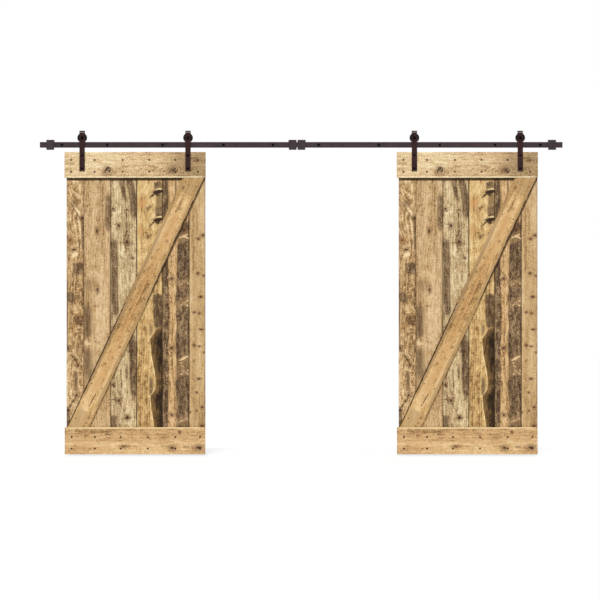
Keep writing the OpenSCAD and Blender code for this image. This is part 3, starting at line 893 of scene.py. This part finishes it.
@dataclass(frozen=True)
class MouldedRubber:
    """Black rubber, moulded: dull, with a fine grain from its mould, drawn coarser than real."""

    name: str
    colour: str = "#1B1A1A"
    light: str = "#2B2928"
    roughness: float = 0.75
    grain_mm: float = 1.5

    def material(self) -> bpy.types.Material:
        """Builds the shader on Object coordinates.

        Returns:
            The material.
        """
        material, tree = empty_material(self.name)
        where = add_node(tree, "TexCoord", {}).outputs["Object"]
        grain = add_node(tree, "TexNoise", {}, where, 1000 / self.grain_mm, 3.0, 0.6)
        gloss = (self.roughness - 0.08, self.roughness + 0.1)
        shader = add_node(
            tree, "BsdfPrincipled", {},
            Base_Color=add_node(tree, "Mix", COLOUR, grain, linear(self.colour), linear(self.light)),
            Roughness=add_node(tree, "MapRange", SMOOTH, grain, 0.2, 0.8, *gloss),
            Normal=add_node(tree, "Bump", {}, Height=grain, Distance=0.00008, Strength=0.5),
        )
        add_node(tree, "OutputMaterial", {}, shader)
        return material


# ---------------------------------------------------------------- the doors' finishes and marks


def plank_finish(name: str, pale: str, tan: str, line: str, **more: float | str) -> WoodFinish:
    """A plank's finish from its three colours."""
    return WoodFinish(name, pale, tan, line, "plank_wood", **more)


FINISHES: dict[str, WoodFinish] = {
    # Knotty and blotched: dark pockets, and pale scratches between them
    "plank_1": plank_finish("sawn_knotty_pine_brown", "#DAC298", "#A8865A", "#5A4028", mottle=1.9),
    # Calm and tan, with a few long shadows
    "plank_2": plank_finish("sawn_pine_smooth_tan", "#CAB088", "#A8885E", "#5E442A", mottle=1.2, speck=1.2),
    # The palest: beige with weathered streaks
    "plank_3": plank_finish(
        "sawn_pine_weathered_beige", "#D6C49E", "#AA9068", "#4E3826", mottle=1.25, speck=1.2,
    ),
    # Golden and smooth, so that its dark knots and bark stand out
    "plank_4": plank_finish(
        "sawn_pine_golden", "#D8C290", "#B89662", "#70522E", speck=0.9, fibre=0.4, kerf=0.5,
    ),
    # Striped: wide near-black stretches beside tan heartwood
    "plank_5": plank_finish(
        "sawn_pine_striped", "#CEB086", "#AC885A", "#523A24", speck=1.3, fibre=0.9, dark="#3C2B1D",
    ),
    # Clear and even, with small knots only
    "plank_6": plank_finish(
        "sawn_pine_clear", "#CAB28A", "#AE8E62", "#705232", mottle=0.7, speck=1.0, fibre=0.4, rings=0.1,
    ),
    # Cream sapwood that hardly took the stain
    "top_board": WoodFinish(
        "sawn_pine_cream", "#E0D0AA", "#BA9C72", "#66502F", "pale_board_wood",
        rings=0.1, fibre=0.7, bands=0.7, mottle=0.9, speck=1.15, kerf=0.5,
    ),
    # Honey coloured, with fine lines along it
    "bottom_board": WoodFinish(
        "sawn_pine_honey", "#D2BA8C", "#B49064", "#6E5230", "golden_board_wood",
        rings=0.1, fibre=0.7, bands=0.8, mottle=0.9, speck=1.0, kerf=0.5,
    ),
    # Amber, with broad soft bands along it
    "brace": WoodFinish(
        "sawn_pine_amber", "#D0B284", "#B28E5C", "#6A4E2E", "golden_board_wood",
        rings=0.1, bands=1.3, fibre=0.62, hair=0.6, mottle=0.9, speck=1.3, kerf=0.7,
    ),
}


def knots(*rows: tuple[float, ...]) -> list[Knot]:
    """Knots from rows of across, along and, where they differ, half sizes, darkness and bend."""
    return [Knot(*row) for row in rows]


def strokes(*rows: tuple[float, ...]) -> list[Stroke]:
    """Strokes from rows of across and along at both ends, width and darkness."""
    return [Stroke(*row) for row in rows]


# Marks on the planks, by number: across from the door's middle and along from its top, in millimetres
PLANK_KNOTS: dict[int, list[Knot]] = {
    1: knots(
        (-430, 362, 16, 14, 0.6), (-369, 463, 12, 15, 0.9), (-455, 618, 15, 20, 0.6),
        (-429, 684, 13, 10, 0.75), (-401, 1161, 14, 13, 0.65), (-383, 1209, 13, 11, 0.75),
        (-389, 1245, 10, 8, 0.7), (-470, 1372, 10, 14, 0.8), (-402, 1492, 13, 11, 0.8),
        (-409, 1700, 14, 12, 0.8), (-472, 1808, 12, 14),
    ),
    2: knots(
        (-267, 553, 9, 17, 0.9), (-264, 965, 9, 19, 0.85), (-278, 1330, 5, 6, 0.7),
        (-320, 1700, 4, 10, 0.6),
    ),
    3: knots(
        (-154, 397, 8, 8), (-113, 516, 11, 13), (-56, 630, 12, 13), (-18, 741, 10, 7, 0.9),
        (-154, 1631, 8, 8), (-114, 1741, 11, 13), (-55, 1860, 12, 13),
    ),
    4: knots(
        (160, 280, 24, 8), (160, 476, 24, 8), (87, 395, 9, 9, 0.8), (105, 384, 6, 7, 0.8),
        (91, 592, 9, 9, 0.8), (108, 581, 6, 7, 0.7),
    ),
    5: knots(
        (342, 545, 13, 15, 0.8), (255, 887, 13, 10, 0.9), (338, 915, 16, 12, 0.5),
        (342, 1060, 16, 10, 0.5), (255, 1372, 13, 10, 0.9), (342, 1545, 15, 12, 0.5),
        (255, 1841, 13, 10, 0.9), (350, 1880, 14, 12, 0.5),
    ),
    6: knots(
        (476, 583, 10, 9), (443, 608, 8, 7), (438, 850, 9, 8), (481, 866, 8, 6), (458, 1014, 10, 6),
        (415, 1123, 9, 5), (449, 1130, 9, 5), (461, 1242, 11, 6), (415, 1354, 9, 5), (449, 1361, 9, 5),
        (481, 1403, 5, 5), (446, 1588, 11, 6), (431, 1684, 7, 6), (469, 1788, 9, 7), (431, 1811, 6, 5),
        (387, 1823, 5, 5), (469, 1918, 11, 8),
    ),
}
PLANK_BANDS: dict[int, list[Band]] = {
    1: [
        Band(-395, 36, 775, 855, 0.85, fade=22, soft=0.5), Band(-452, 34, 985, 1050, 0.8, fade=25),
        Band(-400, 40, 1000, 1040, 0.5, fade=25), Band(-367, 9, 465, 700, 0.7),
        Band(-415, 12, 1526, 1673, 0.6), Band(-472, 14, 1815, 1930, 0.85),
        Band(-455, 24, 600, 640, 0.9, Stain.WARM, fade=20), Band(-440, 34, 1180, 1260, 0.5, Stain.WARM),
        Band(-474, 7, 900, 1400, 0.5), Band(-385, 22, 1310, 1420, 0.35),
        Band(-420, 26, 700, 740, 0.8, Stain.PALE, fade=20),
    ],
    2: [
        Band(-190, 22, 290, 550, 0.75, soft=0.9), Band(-322, 46, 880, 990, 0.4, soft=0.9),
        Band(-335, 36, 1060, 1310, 0.6, soft=0.95), Band(-330, 40, 1370, 1590, 0.55, soft=0.95),
        Band(-178, 8, 600, 1300, 0.35), Band(-330, 22, 1325, 1352, 0.9, Stain.PALE, fade=12),
        Band(-230, 16, 700, 1500, 0.5, Stain.PALE, soft=0.9),
    ],
    3: [
        Band(-105, 14, 190, 350, 0.7, drift=45), Band(-38, 25, 185, 470, 0.85, drift=40),
        Band(-146, 22, 612, 1140, 0.9, drift=10), Band(-22, 26, 1300, 1720, 0.85, drift=22),
        Band(-152, 20, 1845, 1935, 0.9, fade=16), Band(-60, 9, 1480, 1590, 0.55),
        Band(-90, 30, 660, 760, 0.5, Stain.PALE, soft=0.9),
    ],
    4: [
        Band(162, 28, 212, 262, 0.85, fade=14, soft=0.4), Band(164, 26, 385, 455, 0.8, fade=18, soft=0.4),
        Band(164, 26, 262, 500, 0.48, fade=14, soft=0.5),
        Band(158, 31, 1000, 1225, 1.0, fade=14, soft=0.2),
        Band(50, 34, 310, 400, 0.68, Stain.WARM, soft=0.95),
        Band(44, 26, 510, 580, 0.68, Stain.WARM, soft=0.95), Band(112, 18, 1195, 1290, 0.5, soft=0.8),
        Band(112, 16, 1560, 1720, 0.6, soft=0.8),
    ],
    5: [
        Band(212, 19, 150, 2050, 0.95, soft=0.25),
        Band(336, 46, 505, 565, 0.95, fade=14, soft=0.25, slant=0.5),
        Band(336, 46, 630, 890, 1.0, fade=18, soft=0.3, slant=0.5),
        Band(336, 46, 950, 1030, 1.0, fade=16, soft=0.25, slant=0.4),
        Band(336, 46, 1088, 1425, 1.0, fade=18, soft=0.3, slant=0.5),
        Band(336, 46, 1475, 1515, 0.5, fade=16, soft=0.3),
        Band(336, 46, 1570, 1845, 1.0, fade=18, soft=0.3, slant=0.5),
        Band(336, 46, 1905, 1960, 0.7, fade=14, soft=0.3), Band(285, 9, 180, 520, 0.5),
        Band(336, 46, 500, 1960, 0.5, soft=0.3),
    ],
    6: [Band(484, 7, 200, 2000, 0.25)],
}
PLANK_STROKES: dict[int, list[Stroke]] = {
    1: strokes(
        (-452, 356, -385, 470, 7, 0.55), (-430, 340, -366, 436, 6, 0.45), (-440, 352, -376, 452, 8, -0.8),
        (-472, 1380, -396, 1492, 9, 0.6), (-452, 1370, -384, 1462, 7, -0.7),
        (-468, 1800, -410, 1708, 8, 0.6), (-474, 1782, -420, 1690, 6, -0.7),
        (-462, 700, -392, 672, 6, 0.4),
    ),
    2: strokes((-352, 240, -352, 1950, 2, 0.25)),
    3: strokes(
        (-168, 504, -119, 508, 3, 0.7), (-116, 524, -116, 618, 2, 0.5), (-122, 634, 6, 643, 4, 0.6),
        (-74, 1477, -60, 1589, 4, 0.6), (-168, 1730, -119, 1736, 3, 0.7), (-122, 1868, 4, 1862, 4, 0.6),
        (-107, 805, -55, 904, 5, 0.4), (-154, 400, -136, 420, 4, 0.6), (-42, 728, -6, 750, 5, 0.7),
        (-154, 1634, -138, 1652, 4, 0.6), (-112, 524, -62, 624, 3, 0.5), (-112, 1748, -62, 1852, 3, 0.5),
    ),
    4: strokes(
        (140, 288, 100, 322, 7, 0.9), (140, 484, 100, 520, 7, 0.9), (134, 284, 188, 274, 11, 1.5),
        (134, 480, 188, 470, 11, 1.5), (144, 298, 172, 304, 6, 0.9), (144, 494, 172, 500, 6, 0.9),
        (136, 212, 150, 236, 5, 0.8), (146, 264, 188, 256, 7, -1.6), (146, 460, 188, 452, 7, -1.6),
        (178, 288, 188, 284, 6, -1.6), (178, 484, 188, 480, 6, -1.6),
    ),
    5: strokes(
        (233, 240, 233, 1900, 3, 0.45), (293, 540, 293, 1900, 3, 0.4), (312, 930, 366, 900, 6, -1.5),
        (318, 1075, 370, 1040, 6, -1.5), (312, 1460, 368, 1430, 6, -1.5), (318, 1560, 370, 1530, 6, -1.5),
        (312, 1890, 366, 1868, 6, -1.5), (310, 600, 368, 575, 7, -1.5), (225, 880, 262, 862, 5, -1.3),
        (225, 1372, 262, 1352, 5, -1.3), (340, 588, 376, 606, 5, -1.4), (330, 902, 374, 922, 5, -1.4),
        (334, 1052, 372, 1078, 6, -1.5), (330, 1530, 372, 1556, 6, -1.5), (326, 1496, 352, 1512, 4, -0.8),
        (310, 1492, 326, 1470, 4, -0.8), (371, 660, 371, 880, 9, 0.5), (371, 1120, 371, 1400, 9, 0.5),
        (371, 1600, 371, 1850, 9, 0.5),
    ),
    6: [],
}
PLANK_TONES: dict[int, list[Band]] = {
    1: [Band(-440, 60, 150, 760, -0.35), Band(-415, 50, 860, 980, -0.2), Band(-415, 50, 1060, 1150, 0.4)],
    2: [Band(-290, 60, 180, 700, 0.2), Band(-250, 50, 1000, 1500, 0.15)],
    3: [Band(-60, 60, 780, 1000, 0.3)],
    4: [Band(51, 34, 190, 310, 0.4), Band(51, 34, 420, 530, 0.4), Band(60, 60, 600, 900, 0.1)],
    5: [Band(265, 30, 200, 1950, 0.3)],
    6: [],
}
# The plank with bark along its right side
LIVE_EDGES = {4: LiveEdge(start=1190.0, near=107.0, swing=38.0, period=406.0, phase=1315.0)}
# How dark the painted shade is in the joints beside the smoother planks
SOFT_JOINTS = {1: 0.5, 2: 0.6}
# Marks on the cross boards: across down from the top edge and along from the door's middle, in millimetres
CROSS_MARKS: dict[str, dict[str, list[Knot] | list[Band] | list[Stroke]]] = {
    "top_board": {
        "knots": knots((128, -193, 20, 24, 0.55), (128, 267, 20, 26, 0.45), (60, 420, 7, 12, 0.4)),
        "strokes": strokes(
            (125, 250, 160, 232, 3, 0.6), (60, -440, 52, -240, 2, 0.25), (95, -80, 88, 160, 2, 0.25),
            (108, 268, 142, 238, 4, 0.8), (112, 286, 150, 256, 4, 0.8), (124, 298, 152, 276, 4, 0.7),
            (145, -212, 118, -200, 6, 1.1), (112, -204, 114, -178, 6, 1.1), (120, -172, 142, -180, 5, 0.9),
            (124, -198, 146, -190, 5, -1.2), (9, -150, 10, -70, 3, 0.4), (6, -470, 12, -330, 3, 0.3),
            (24, 380, 28, 465, 4, 0.4), (110, 300, 108, 332, 4, 0.5),
        ),
        "bands": [
            # Painted highlight: a light line along the board's lower edge
            Band(176, 4, -480, 480, 0.9, Stain.PALE, soft=0.5),
            Band(80, 160, 200, 700, 0.38, soft=0.9, fade=160),
        ],
        "tones": [Band(80, 140, -560, -60, 0.5), Band(90, 300, 60, 760, -0.45)],
    },
    "bottom_board": {
        "knots": knots(
            (145, 258, 13, 17, 0.85), (142, 446, 12, 24, 0.95), (34, 312, 8, 8, 0.8), (134, -80, 8, 20, 0.7),
            (138, 355, 6, 14, 0.6), (58, -345, 7, 12, 0.4),
        ),
        "strokes": strokes(
            (44, -208, 58, -172, 5, 0.7), (52, 134, 48, 236, 4, 0.5), (52, 343, 60, 445, 3, 0.5),
            (20, 300, 36, 316, 4, 0.6), (132, 180, 134, 240, 4, 0.5), (120, -470, 112, -120, 2, 0.25),
        ),
        "bands": [
            # Painted highlight: a light line along the board's top edge
            Band(5, 5, -485, 485, 1.0, Stain.PALE, soft=0.5),
            Band(142, 20, -465, -205, 0.4, Stain.WARM, soft=0.95),
        ],
    },
}
CROSS_SEEDS = {"top_board": 501, "bottom_board": 613}
BRACE_SEED = 911


# ---------------------------------------------------------------- the doors


DOOR_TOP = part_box("left_top_board")[1].z / MM
DOOR_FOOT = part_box("left_bottom_board")[0].z / MM
PLANKS = range(1, 7)


class Side(Enum):
    """Which door, by the word that the names of its nodes begin with."""

    LEFT = "left"
    RIGHT = "right"


@dataclass
class Door:
    """One plank door: six planks, two cross boards and a brace, all in its own body.

    Its sizes are in millimetres: the brace's width, how far below the top board the painted shade reaches,
    how long the cells of a cross board are, how far in from its ends the brace changes colour, the width
    within which points are one screw's, and how near the foremost plane the heads' faces lie.
    """

    side: Side
    materials: dict[str, bpy.types.Material]
    brace_width: float = 142.0
    shade_below: float = 25.0
    cross_cell: float = 4.0
    brace_ends: float = 150.0
    head_width: float = 10.0
    face_depth: float = 0.01

    def __post_init__(self) -> None:
        """Takes the door's middle and the top board's foot from that board, and finds the screws."""
        low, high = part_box(f"{self.side.value}_top_board")
        self.middle = (low.x + high.x) / 2 / MM
        self.shaded_to = DOOR_TOP - low.z / MM + self.shade_below
        self.screws = self.screw_spots()

    def screw_spots(self) -> Array:
        """Finds the middles of the door's wood screws, in millimetres.

        The heads' points on the front plane are taken in turn, each with all that lie within a head's width.

        Returns:
            Rows of X and Z.
        """
        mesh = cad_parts[f"{self.side.value}_wood_screws"].data
        flat = np.empty(len(mesh.vertices) * 3)
        mesh.vertices.foreach_get("co", flat)
        points = flat.reshape(-1, 3) / MM
        front = points[points[:, 1] < points[:, 1].min() + self.face_depth][:, [0, 2]]
        spots = []
        while len(front):
            near = np.hypot(*(front - front[0]).T) < self.head_width
            spots.append((front[near].min(0) + front[near].max(0)) / 2)
            front = front[~near]
        return np.array(spots)

    def board(self, name: str, shape: BoardShape, seed: int, **marks: object) -> Board:
        """A board of this door, by its node's name without the side."""
        node, body = f"{self.side.value}_{name}", f"door_{self.side.value}"
        return Board(f"{node}_wood", node, body, shape, FINISHES[name], seed, **marks)

    def upright(self, number: int) -> Board:
        """Shapes one plank: across is measured from the door's middle and along from its top.

        Args:
            number: Which plank, from 1 at the left.

        Returns:
            The plank.
        """
        low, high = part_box(f"{self.side.value}_plank_{number}")
        front, middle, length = low.y / MM, self.middle, DOOR_TOP - DOOR_FOOT
        left, right = low.x / MM - middle, high.x / MM - middle
        tongue, groove = number < PLANKS[-1], number > PLANKS[0]

        def place(across: Array, along: Array, depth: Array) -> Array:
            """X is across, Z falls along the plank and Y is the depth behind its front."""
            return np.stack([middle + across, front + depth, DOOR_TOP - along], -1)

        shape = BoardShape(
            left, right - (TONGUE_REACH if tongue else 0.0), high.y / MM - front,
            lambda a: np.zeros(a.shape), lambda a: np.full(a.shape, length), place, tongue, groove,
        )
        return self.board(
            f"plank_{number}", shape, 100 + number * 37, knots=PLANK_KNOTS[number], bands=PLANK_BANDS[number],
            strokes=PLANK_STROKES[number], tones=PLANK_TONES[number], live_edge=LIVE_EDGES.get(number),
            shaded_to=self.shaded_to, edge_shade=SOFT_JOINTS.get(number, Board.edge_shade),
        )

    def cross(self, name: str) -> Board:
        """Shapes a cross board: across is measured down from its top edge and along from the door's middle.

        Args:
            name: Its node's name without the side.

        Returns:
            The board.
        """
        low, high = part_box(f"{self.side.value}_{name}")
        top, front, middle = high.z / MM, low.y / MM, self.middle
        left, right = low.x / MM - middle, high.x / MM - middle

        def place(across: Array, along: Array, depth: Array) -> Array:
            """Z falls across the board, X runs along it and Y is the depth behind its front."""
            return np.stack([middle + along, front + depth, top - across], -1)

        shape = BoardShape(
            0.0, top - low.z / MM, (high.y - low.y) / MM,
            lambda a: np.full(a.shape, left), lambda a: np.full(a.shape, right), place,
        )
        spots = np.stack([top - self.screws[:, 1], self.screws[:, 0] - middle], -1)
        inside = (spots[:, 0] > 0) & (spots[:, 0] < shape.high)
        return self.board(
            name, shape, CROSS_SEEDS[name], screws=spots[inside].tolist(), cell_along=self.cross_cell,
            edge_shade=0.15, **CROSS_MARKS[name],
        )

    def slanted(self) -> Board:
        """Shapes the brace: along runs up its centre line from its middle, and across is square to it.

        Its lean is the angle whose cosine is its width over the diagonal of its box, less the diagonal's own
        slope, and its ends are level. Its marks are measured from its ends and sides.

        Returns:
            The brace.
        """
        low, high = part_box(f"{self.side.value}_brace")
        span, rise = (high.x - low.x) / MM, (high.z - low.z) / MM
        lean = math.acos(self.brace_width / math.hypot(span, rise)) - math.atan2(rise, span)
        mid_x, mid_z, front = (low.x + high.x) / 2 / MM, (low.z + high.z) / 2 / MM, low.y / MM
        sin, cos, tan = math.sin(lean), math.cos(lean), math.tan(lean)
        half_length, side = rise / 2 / cos, self.brace_width / 2

        def place(across: Array, along: Array, depth: Array) -> Array:
            """Turns the brace's axes by its lean; Y is the depth behind its front."""
            x, z = mid_x + along * sin + across * cos, mid_z + along * cos - across * sin
            return np.stack([x, front + depth, z], -1)

        shape = BoardShape(
            -side, side, (high.y - low.y) / MM,
            lambda a: a * tan - half_length, lambda a: a * tan + half_length, place,
        )
        end = half_length - self.brace_ends
        return self.board(
            "brace", shape, BRACE_SEED, edge_shade=0.3,
            knots=knots(
                (-40, end + 60, 6, 8, 0.7), (40, -end - 60, 6, 8, 0.7), (18, 480, 9, 7, 0.5),
                (-18, -480, 9, 7, 0.5), (-30, 330, 5, 5, 0.8), (30, -330, 5, 5, 0.8),
            ),
            bands=[
                Band(14 - side, 15, 60 - end, end, 0.42), Band(side - 12, 14, -end, end + 200, 0.36),
                Band(0, 34, -700, 700, 0.45, Stain.WARM), Band(0, 80, end + 20, end + 300, 0.3, fade=6),
                Band(0, 80, -end - 300, -end - 20, 0.3, fade=6),
            ],
            strokes=strokes(
                (-14, end - 120, -6, end - 10, 2.5, 0.9), (14, -end + 120, 6, -end + 10, 2.5, 0.9),
                # Painted shade: dark lines along the right edge of the upper half and the left edge of the
                # lower half
                (side - 1, 30, side - 1, end + 200, 7, 1.6), (1 - side, -30, 1 - side, -end - 200, 7, 1.6),
                (-side, -14, side, 18, 2, 0.3),
            ),
            tones=[Band(0, 90, -end - 60, -200, 0.42), Band(0, 90, 300, end, 0.25)],
        )

    def build(self) -> None:
        """Builds every board of the door, and reports each."""
        boards = [*map(self.upright, PLANKS), *map(self.cross, CROSS_MARKS), self.slanted()]
        for board in boards:
            obj = board.build(self.materials[board.node.removeprefix(f"{self.side.value}_")])
            LOG.info("%s: %d faces", obj.name, len(obj.data.polygons))


# ---------------------------------------------------------------- hardware


class Coat(Enum):
    """The hardware's finishes."""

    # Powder coated: an even satin brown
    BAR = CoatedMetal("bronze_powder_coated_bar", "#32272A", "#382C2F", roughness=0.36, specular=0.2)
    # The same coat on bent strap, redder and glossier, so that its bend catches the light
    STRAP = CoatedMetal("bronze_powder_coated_strap", "#250B0B", "#2B0F0E", roughness=0.35, specular=0.26)
    # Black coated: near black, with soft gloss on the wheels' rims
    BLACK = CoatedMetal("black_coated_steel", "#0E0B0B", "#141010", roughness=0.34, specular=0.25)
    # Black oxide on bolt heads: the darkest, with small sharp lights
    BOLT = CoatedMetal(
        "black_oxide_bolts", "#030202", "#070505", roughness=0.24, specular=0.06, dust="#2A2422",
    )
    # Ground steel: the only bright metal, seen at the bearings
    STEEL = GroundSteel("ground_bearing_steel")
    # Moulded rubber: dull black pads and discs
    RUBBER = MouldedRubber("moulded_black_rubber")


# Which words in a node's name give it which finish; the first that fits is taken
DRESSED_AS = (
    (("strap_bolts", "axle_bolts", "lag_screws"), Coat.BOLT),
    (("strap_nuts",), Coat.BLACK),
    (("rail_", "stop_left", "stop_right", "splice_plate"), Coat.BAR),
    (("strap",), Coat.STRAP),
    (("races", "sleeves", "bearing"), Coat.STEEL),
    (("bumpers", "discs"), Coat.RUBBER),
    (("screws", "bolts", "nuts", "wheel"), Coat.BLACK),
)


@dataclass
class Hardware:
    """The track, hangers and fasteners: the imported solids, each with its finish."""

    materials: dict[Coat, bpy.types.Material]

    def finish_of(self, node: str) -> bpy.types.Material | None:
        """Picks a node's finish by what its name holds.

        Args:
            node: The node's name.

        Returns:
            The material, or None for wood.
        """
        for words, coat in DRESSED_AS:
            if any(word in node for word in words):
                return self.materials[coat]
        return None

    def build(self) -> None:
        """Dresses every node that isn't wood, and reports each."""
        for name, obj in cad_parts.items():
            material = self.finish_of(name)
            if material is None or obj.hide_render:
                continue
            obj.data.materials.clear()
            obj.data.materials.append(material)
            LOG.info("%s: %s", name, material.name)


# ---------------------------------------------------------------- stage


WHITE = (1, 1, 1, 1)


@dataclass
class Studio:
    """Pale floor, soft white surroundings, a key light from above and a long-lens camera square to the doors.

    Lens and sensor are in millimetres, angles in degrees and the rest in metres or as shares of full light.
    """

    view_width: float = 4.2
    lens: float = 300.0
    sensor: float = 36.0
    clip: tuple[float, float] = (1.0, 200.0)
    centre_x: float = -0.0084
    below_rail: float = 1.0864
    foot_gap: float = 0.013
    floor_half: float = 60.0
    floor_lift: float = 0.75
    fill: float = 0.45
    key_strength: float = 3.1
    key_spread: float = 6.0
    key_turn: float = 2.0
    key_rise: float = 50.0

    def build(self) -> None:
        """Makes the camera, the floor, the surroundings and the key light."""
        self.camera()
        self.floor()
        self.surroundings()
        self.key()
        bpy.context.scene.view_settings.view_transform = "Standard"
        LOG.info("studio: camera, floor and lights")

    def camera(self) -> None:
        """Stands so far off that the view is as wide as it should be: lens over sensor times the width."""
        data = bpy.data.cameras.new("camera")
        data.lens, data.sensor_width = self.lens, self.sensor
        data.clip_start, data.clip_end = self.clip
        camera = bpy.data.objects.new("camera", data)
        distance = self.lens / self.sensor * self.view_width
        camera.location = (self.centre_x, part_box("left_top_board")[0].y - distance, -self.below_rail)
        camera.rotation_euler = (math.radians(90), 0, 0)
        bpy.context.scene.collection.objects.link(camera)
        bpy.context.scene.camera = camera

    def floor(self) -> None:
        """White painted floor: matt and even. The camera also sees it glow, which keeps its shadows faint."""
        paint, tree = empty_material("white_painted_floor")
        cloud = add_node(tree, "TexNoise", {}, add_node(tree, "TexCoord", {}).outputs["Object"], 3.0, 3.0)
        colour = add_node(tree, "Mix", COLOUR, cloud, linear("#EFEFEE"), linear("#F3F3F3"))
        matt = add_node(tree, "BsdfPrincipled", {}, Base_Color=colour, Roughness=0.9)
        seen = add_node(tree, "LightPath", {}).outputs["Is Camera Ray"]
        lifted = add_node(tree, "Math", TIMES, seen, self.floor_lift)
        glow = add_node(tree, "Emission", {}, WHITE, 1.0)
        add_node(tree, "OutputMaterial", {}, add_node(tree, "MixShader", {}, lifted, matt, glow))
        half, drop = self.floor_half, CAD_BOX[0].z - self.foot_gap
        corners = [(-half, -half, drop), (half, -half, drop), (half, half, drop), (-half, half, drop)]
        make_mesh("floor", np.array(corners), [[0, 1, 2, 3]], paint, smooth=False)

    def surroundings(self) -> None:
        """White all round, and dimmer as a light, so that the key light keeps its shadows."""
        world = bpy.data.worlds.new("studio")
        world.use_nodes = True
        tree = world.node_tree
        tree.nodes.clear()
        seen = add_node(tree, "LightPath", {}).outputs["Is Camera Ray"]
        lit = add_node(tree, "Background", {}, WHITE, self.fill)
        white = add_node(tree, "Background", {}, WHITE, 1.0)
        add_node(tree, "OutputWorld", {}, add_node(tree, "MixShader", {}, seen, lit, white))
        bpy.context.scene.world = world

    def key(self) -> None:
        """A wide, far key light, alike on both doors: above, in front and a little to the left."""
        data = bpy.data.lights.new("key", "SUN")
        data.energy, data.angle = self.key_strength, math.radians(self.key_spread)
        obj = bpy.data.objects.new("key", data)
        turn, rise = math.radians(self.key_turn), math.radians(self.key_rise)
        towards = Vector((-math.sin(turn) * math.cos(rise), -math.cos(turn) * math.cos(rise), math.sin(rise)))
        obj.rotation_mode = "QUATERNION"
        obj.rotation_quaternion = towards.to_track_quat("Z", "Y")
        bpy.context.scene.collection.objects.link(obj)


# ---------------------------------------------------------------- main


def main() -> None:
    """Builds the studio, the doors and the hardware."""
    logging.basicConfig(level=logging.INFO, format="%(message)s")
    Studio().build()
    woods = {name: finish.material() for name, finish in FINISHES.items()}
    for side in Side:
        Door(side, woods).build()
    Hardware({coat: coat.value.material() for coat in Coat}).build()


if __name__ == "__main__":
    main()
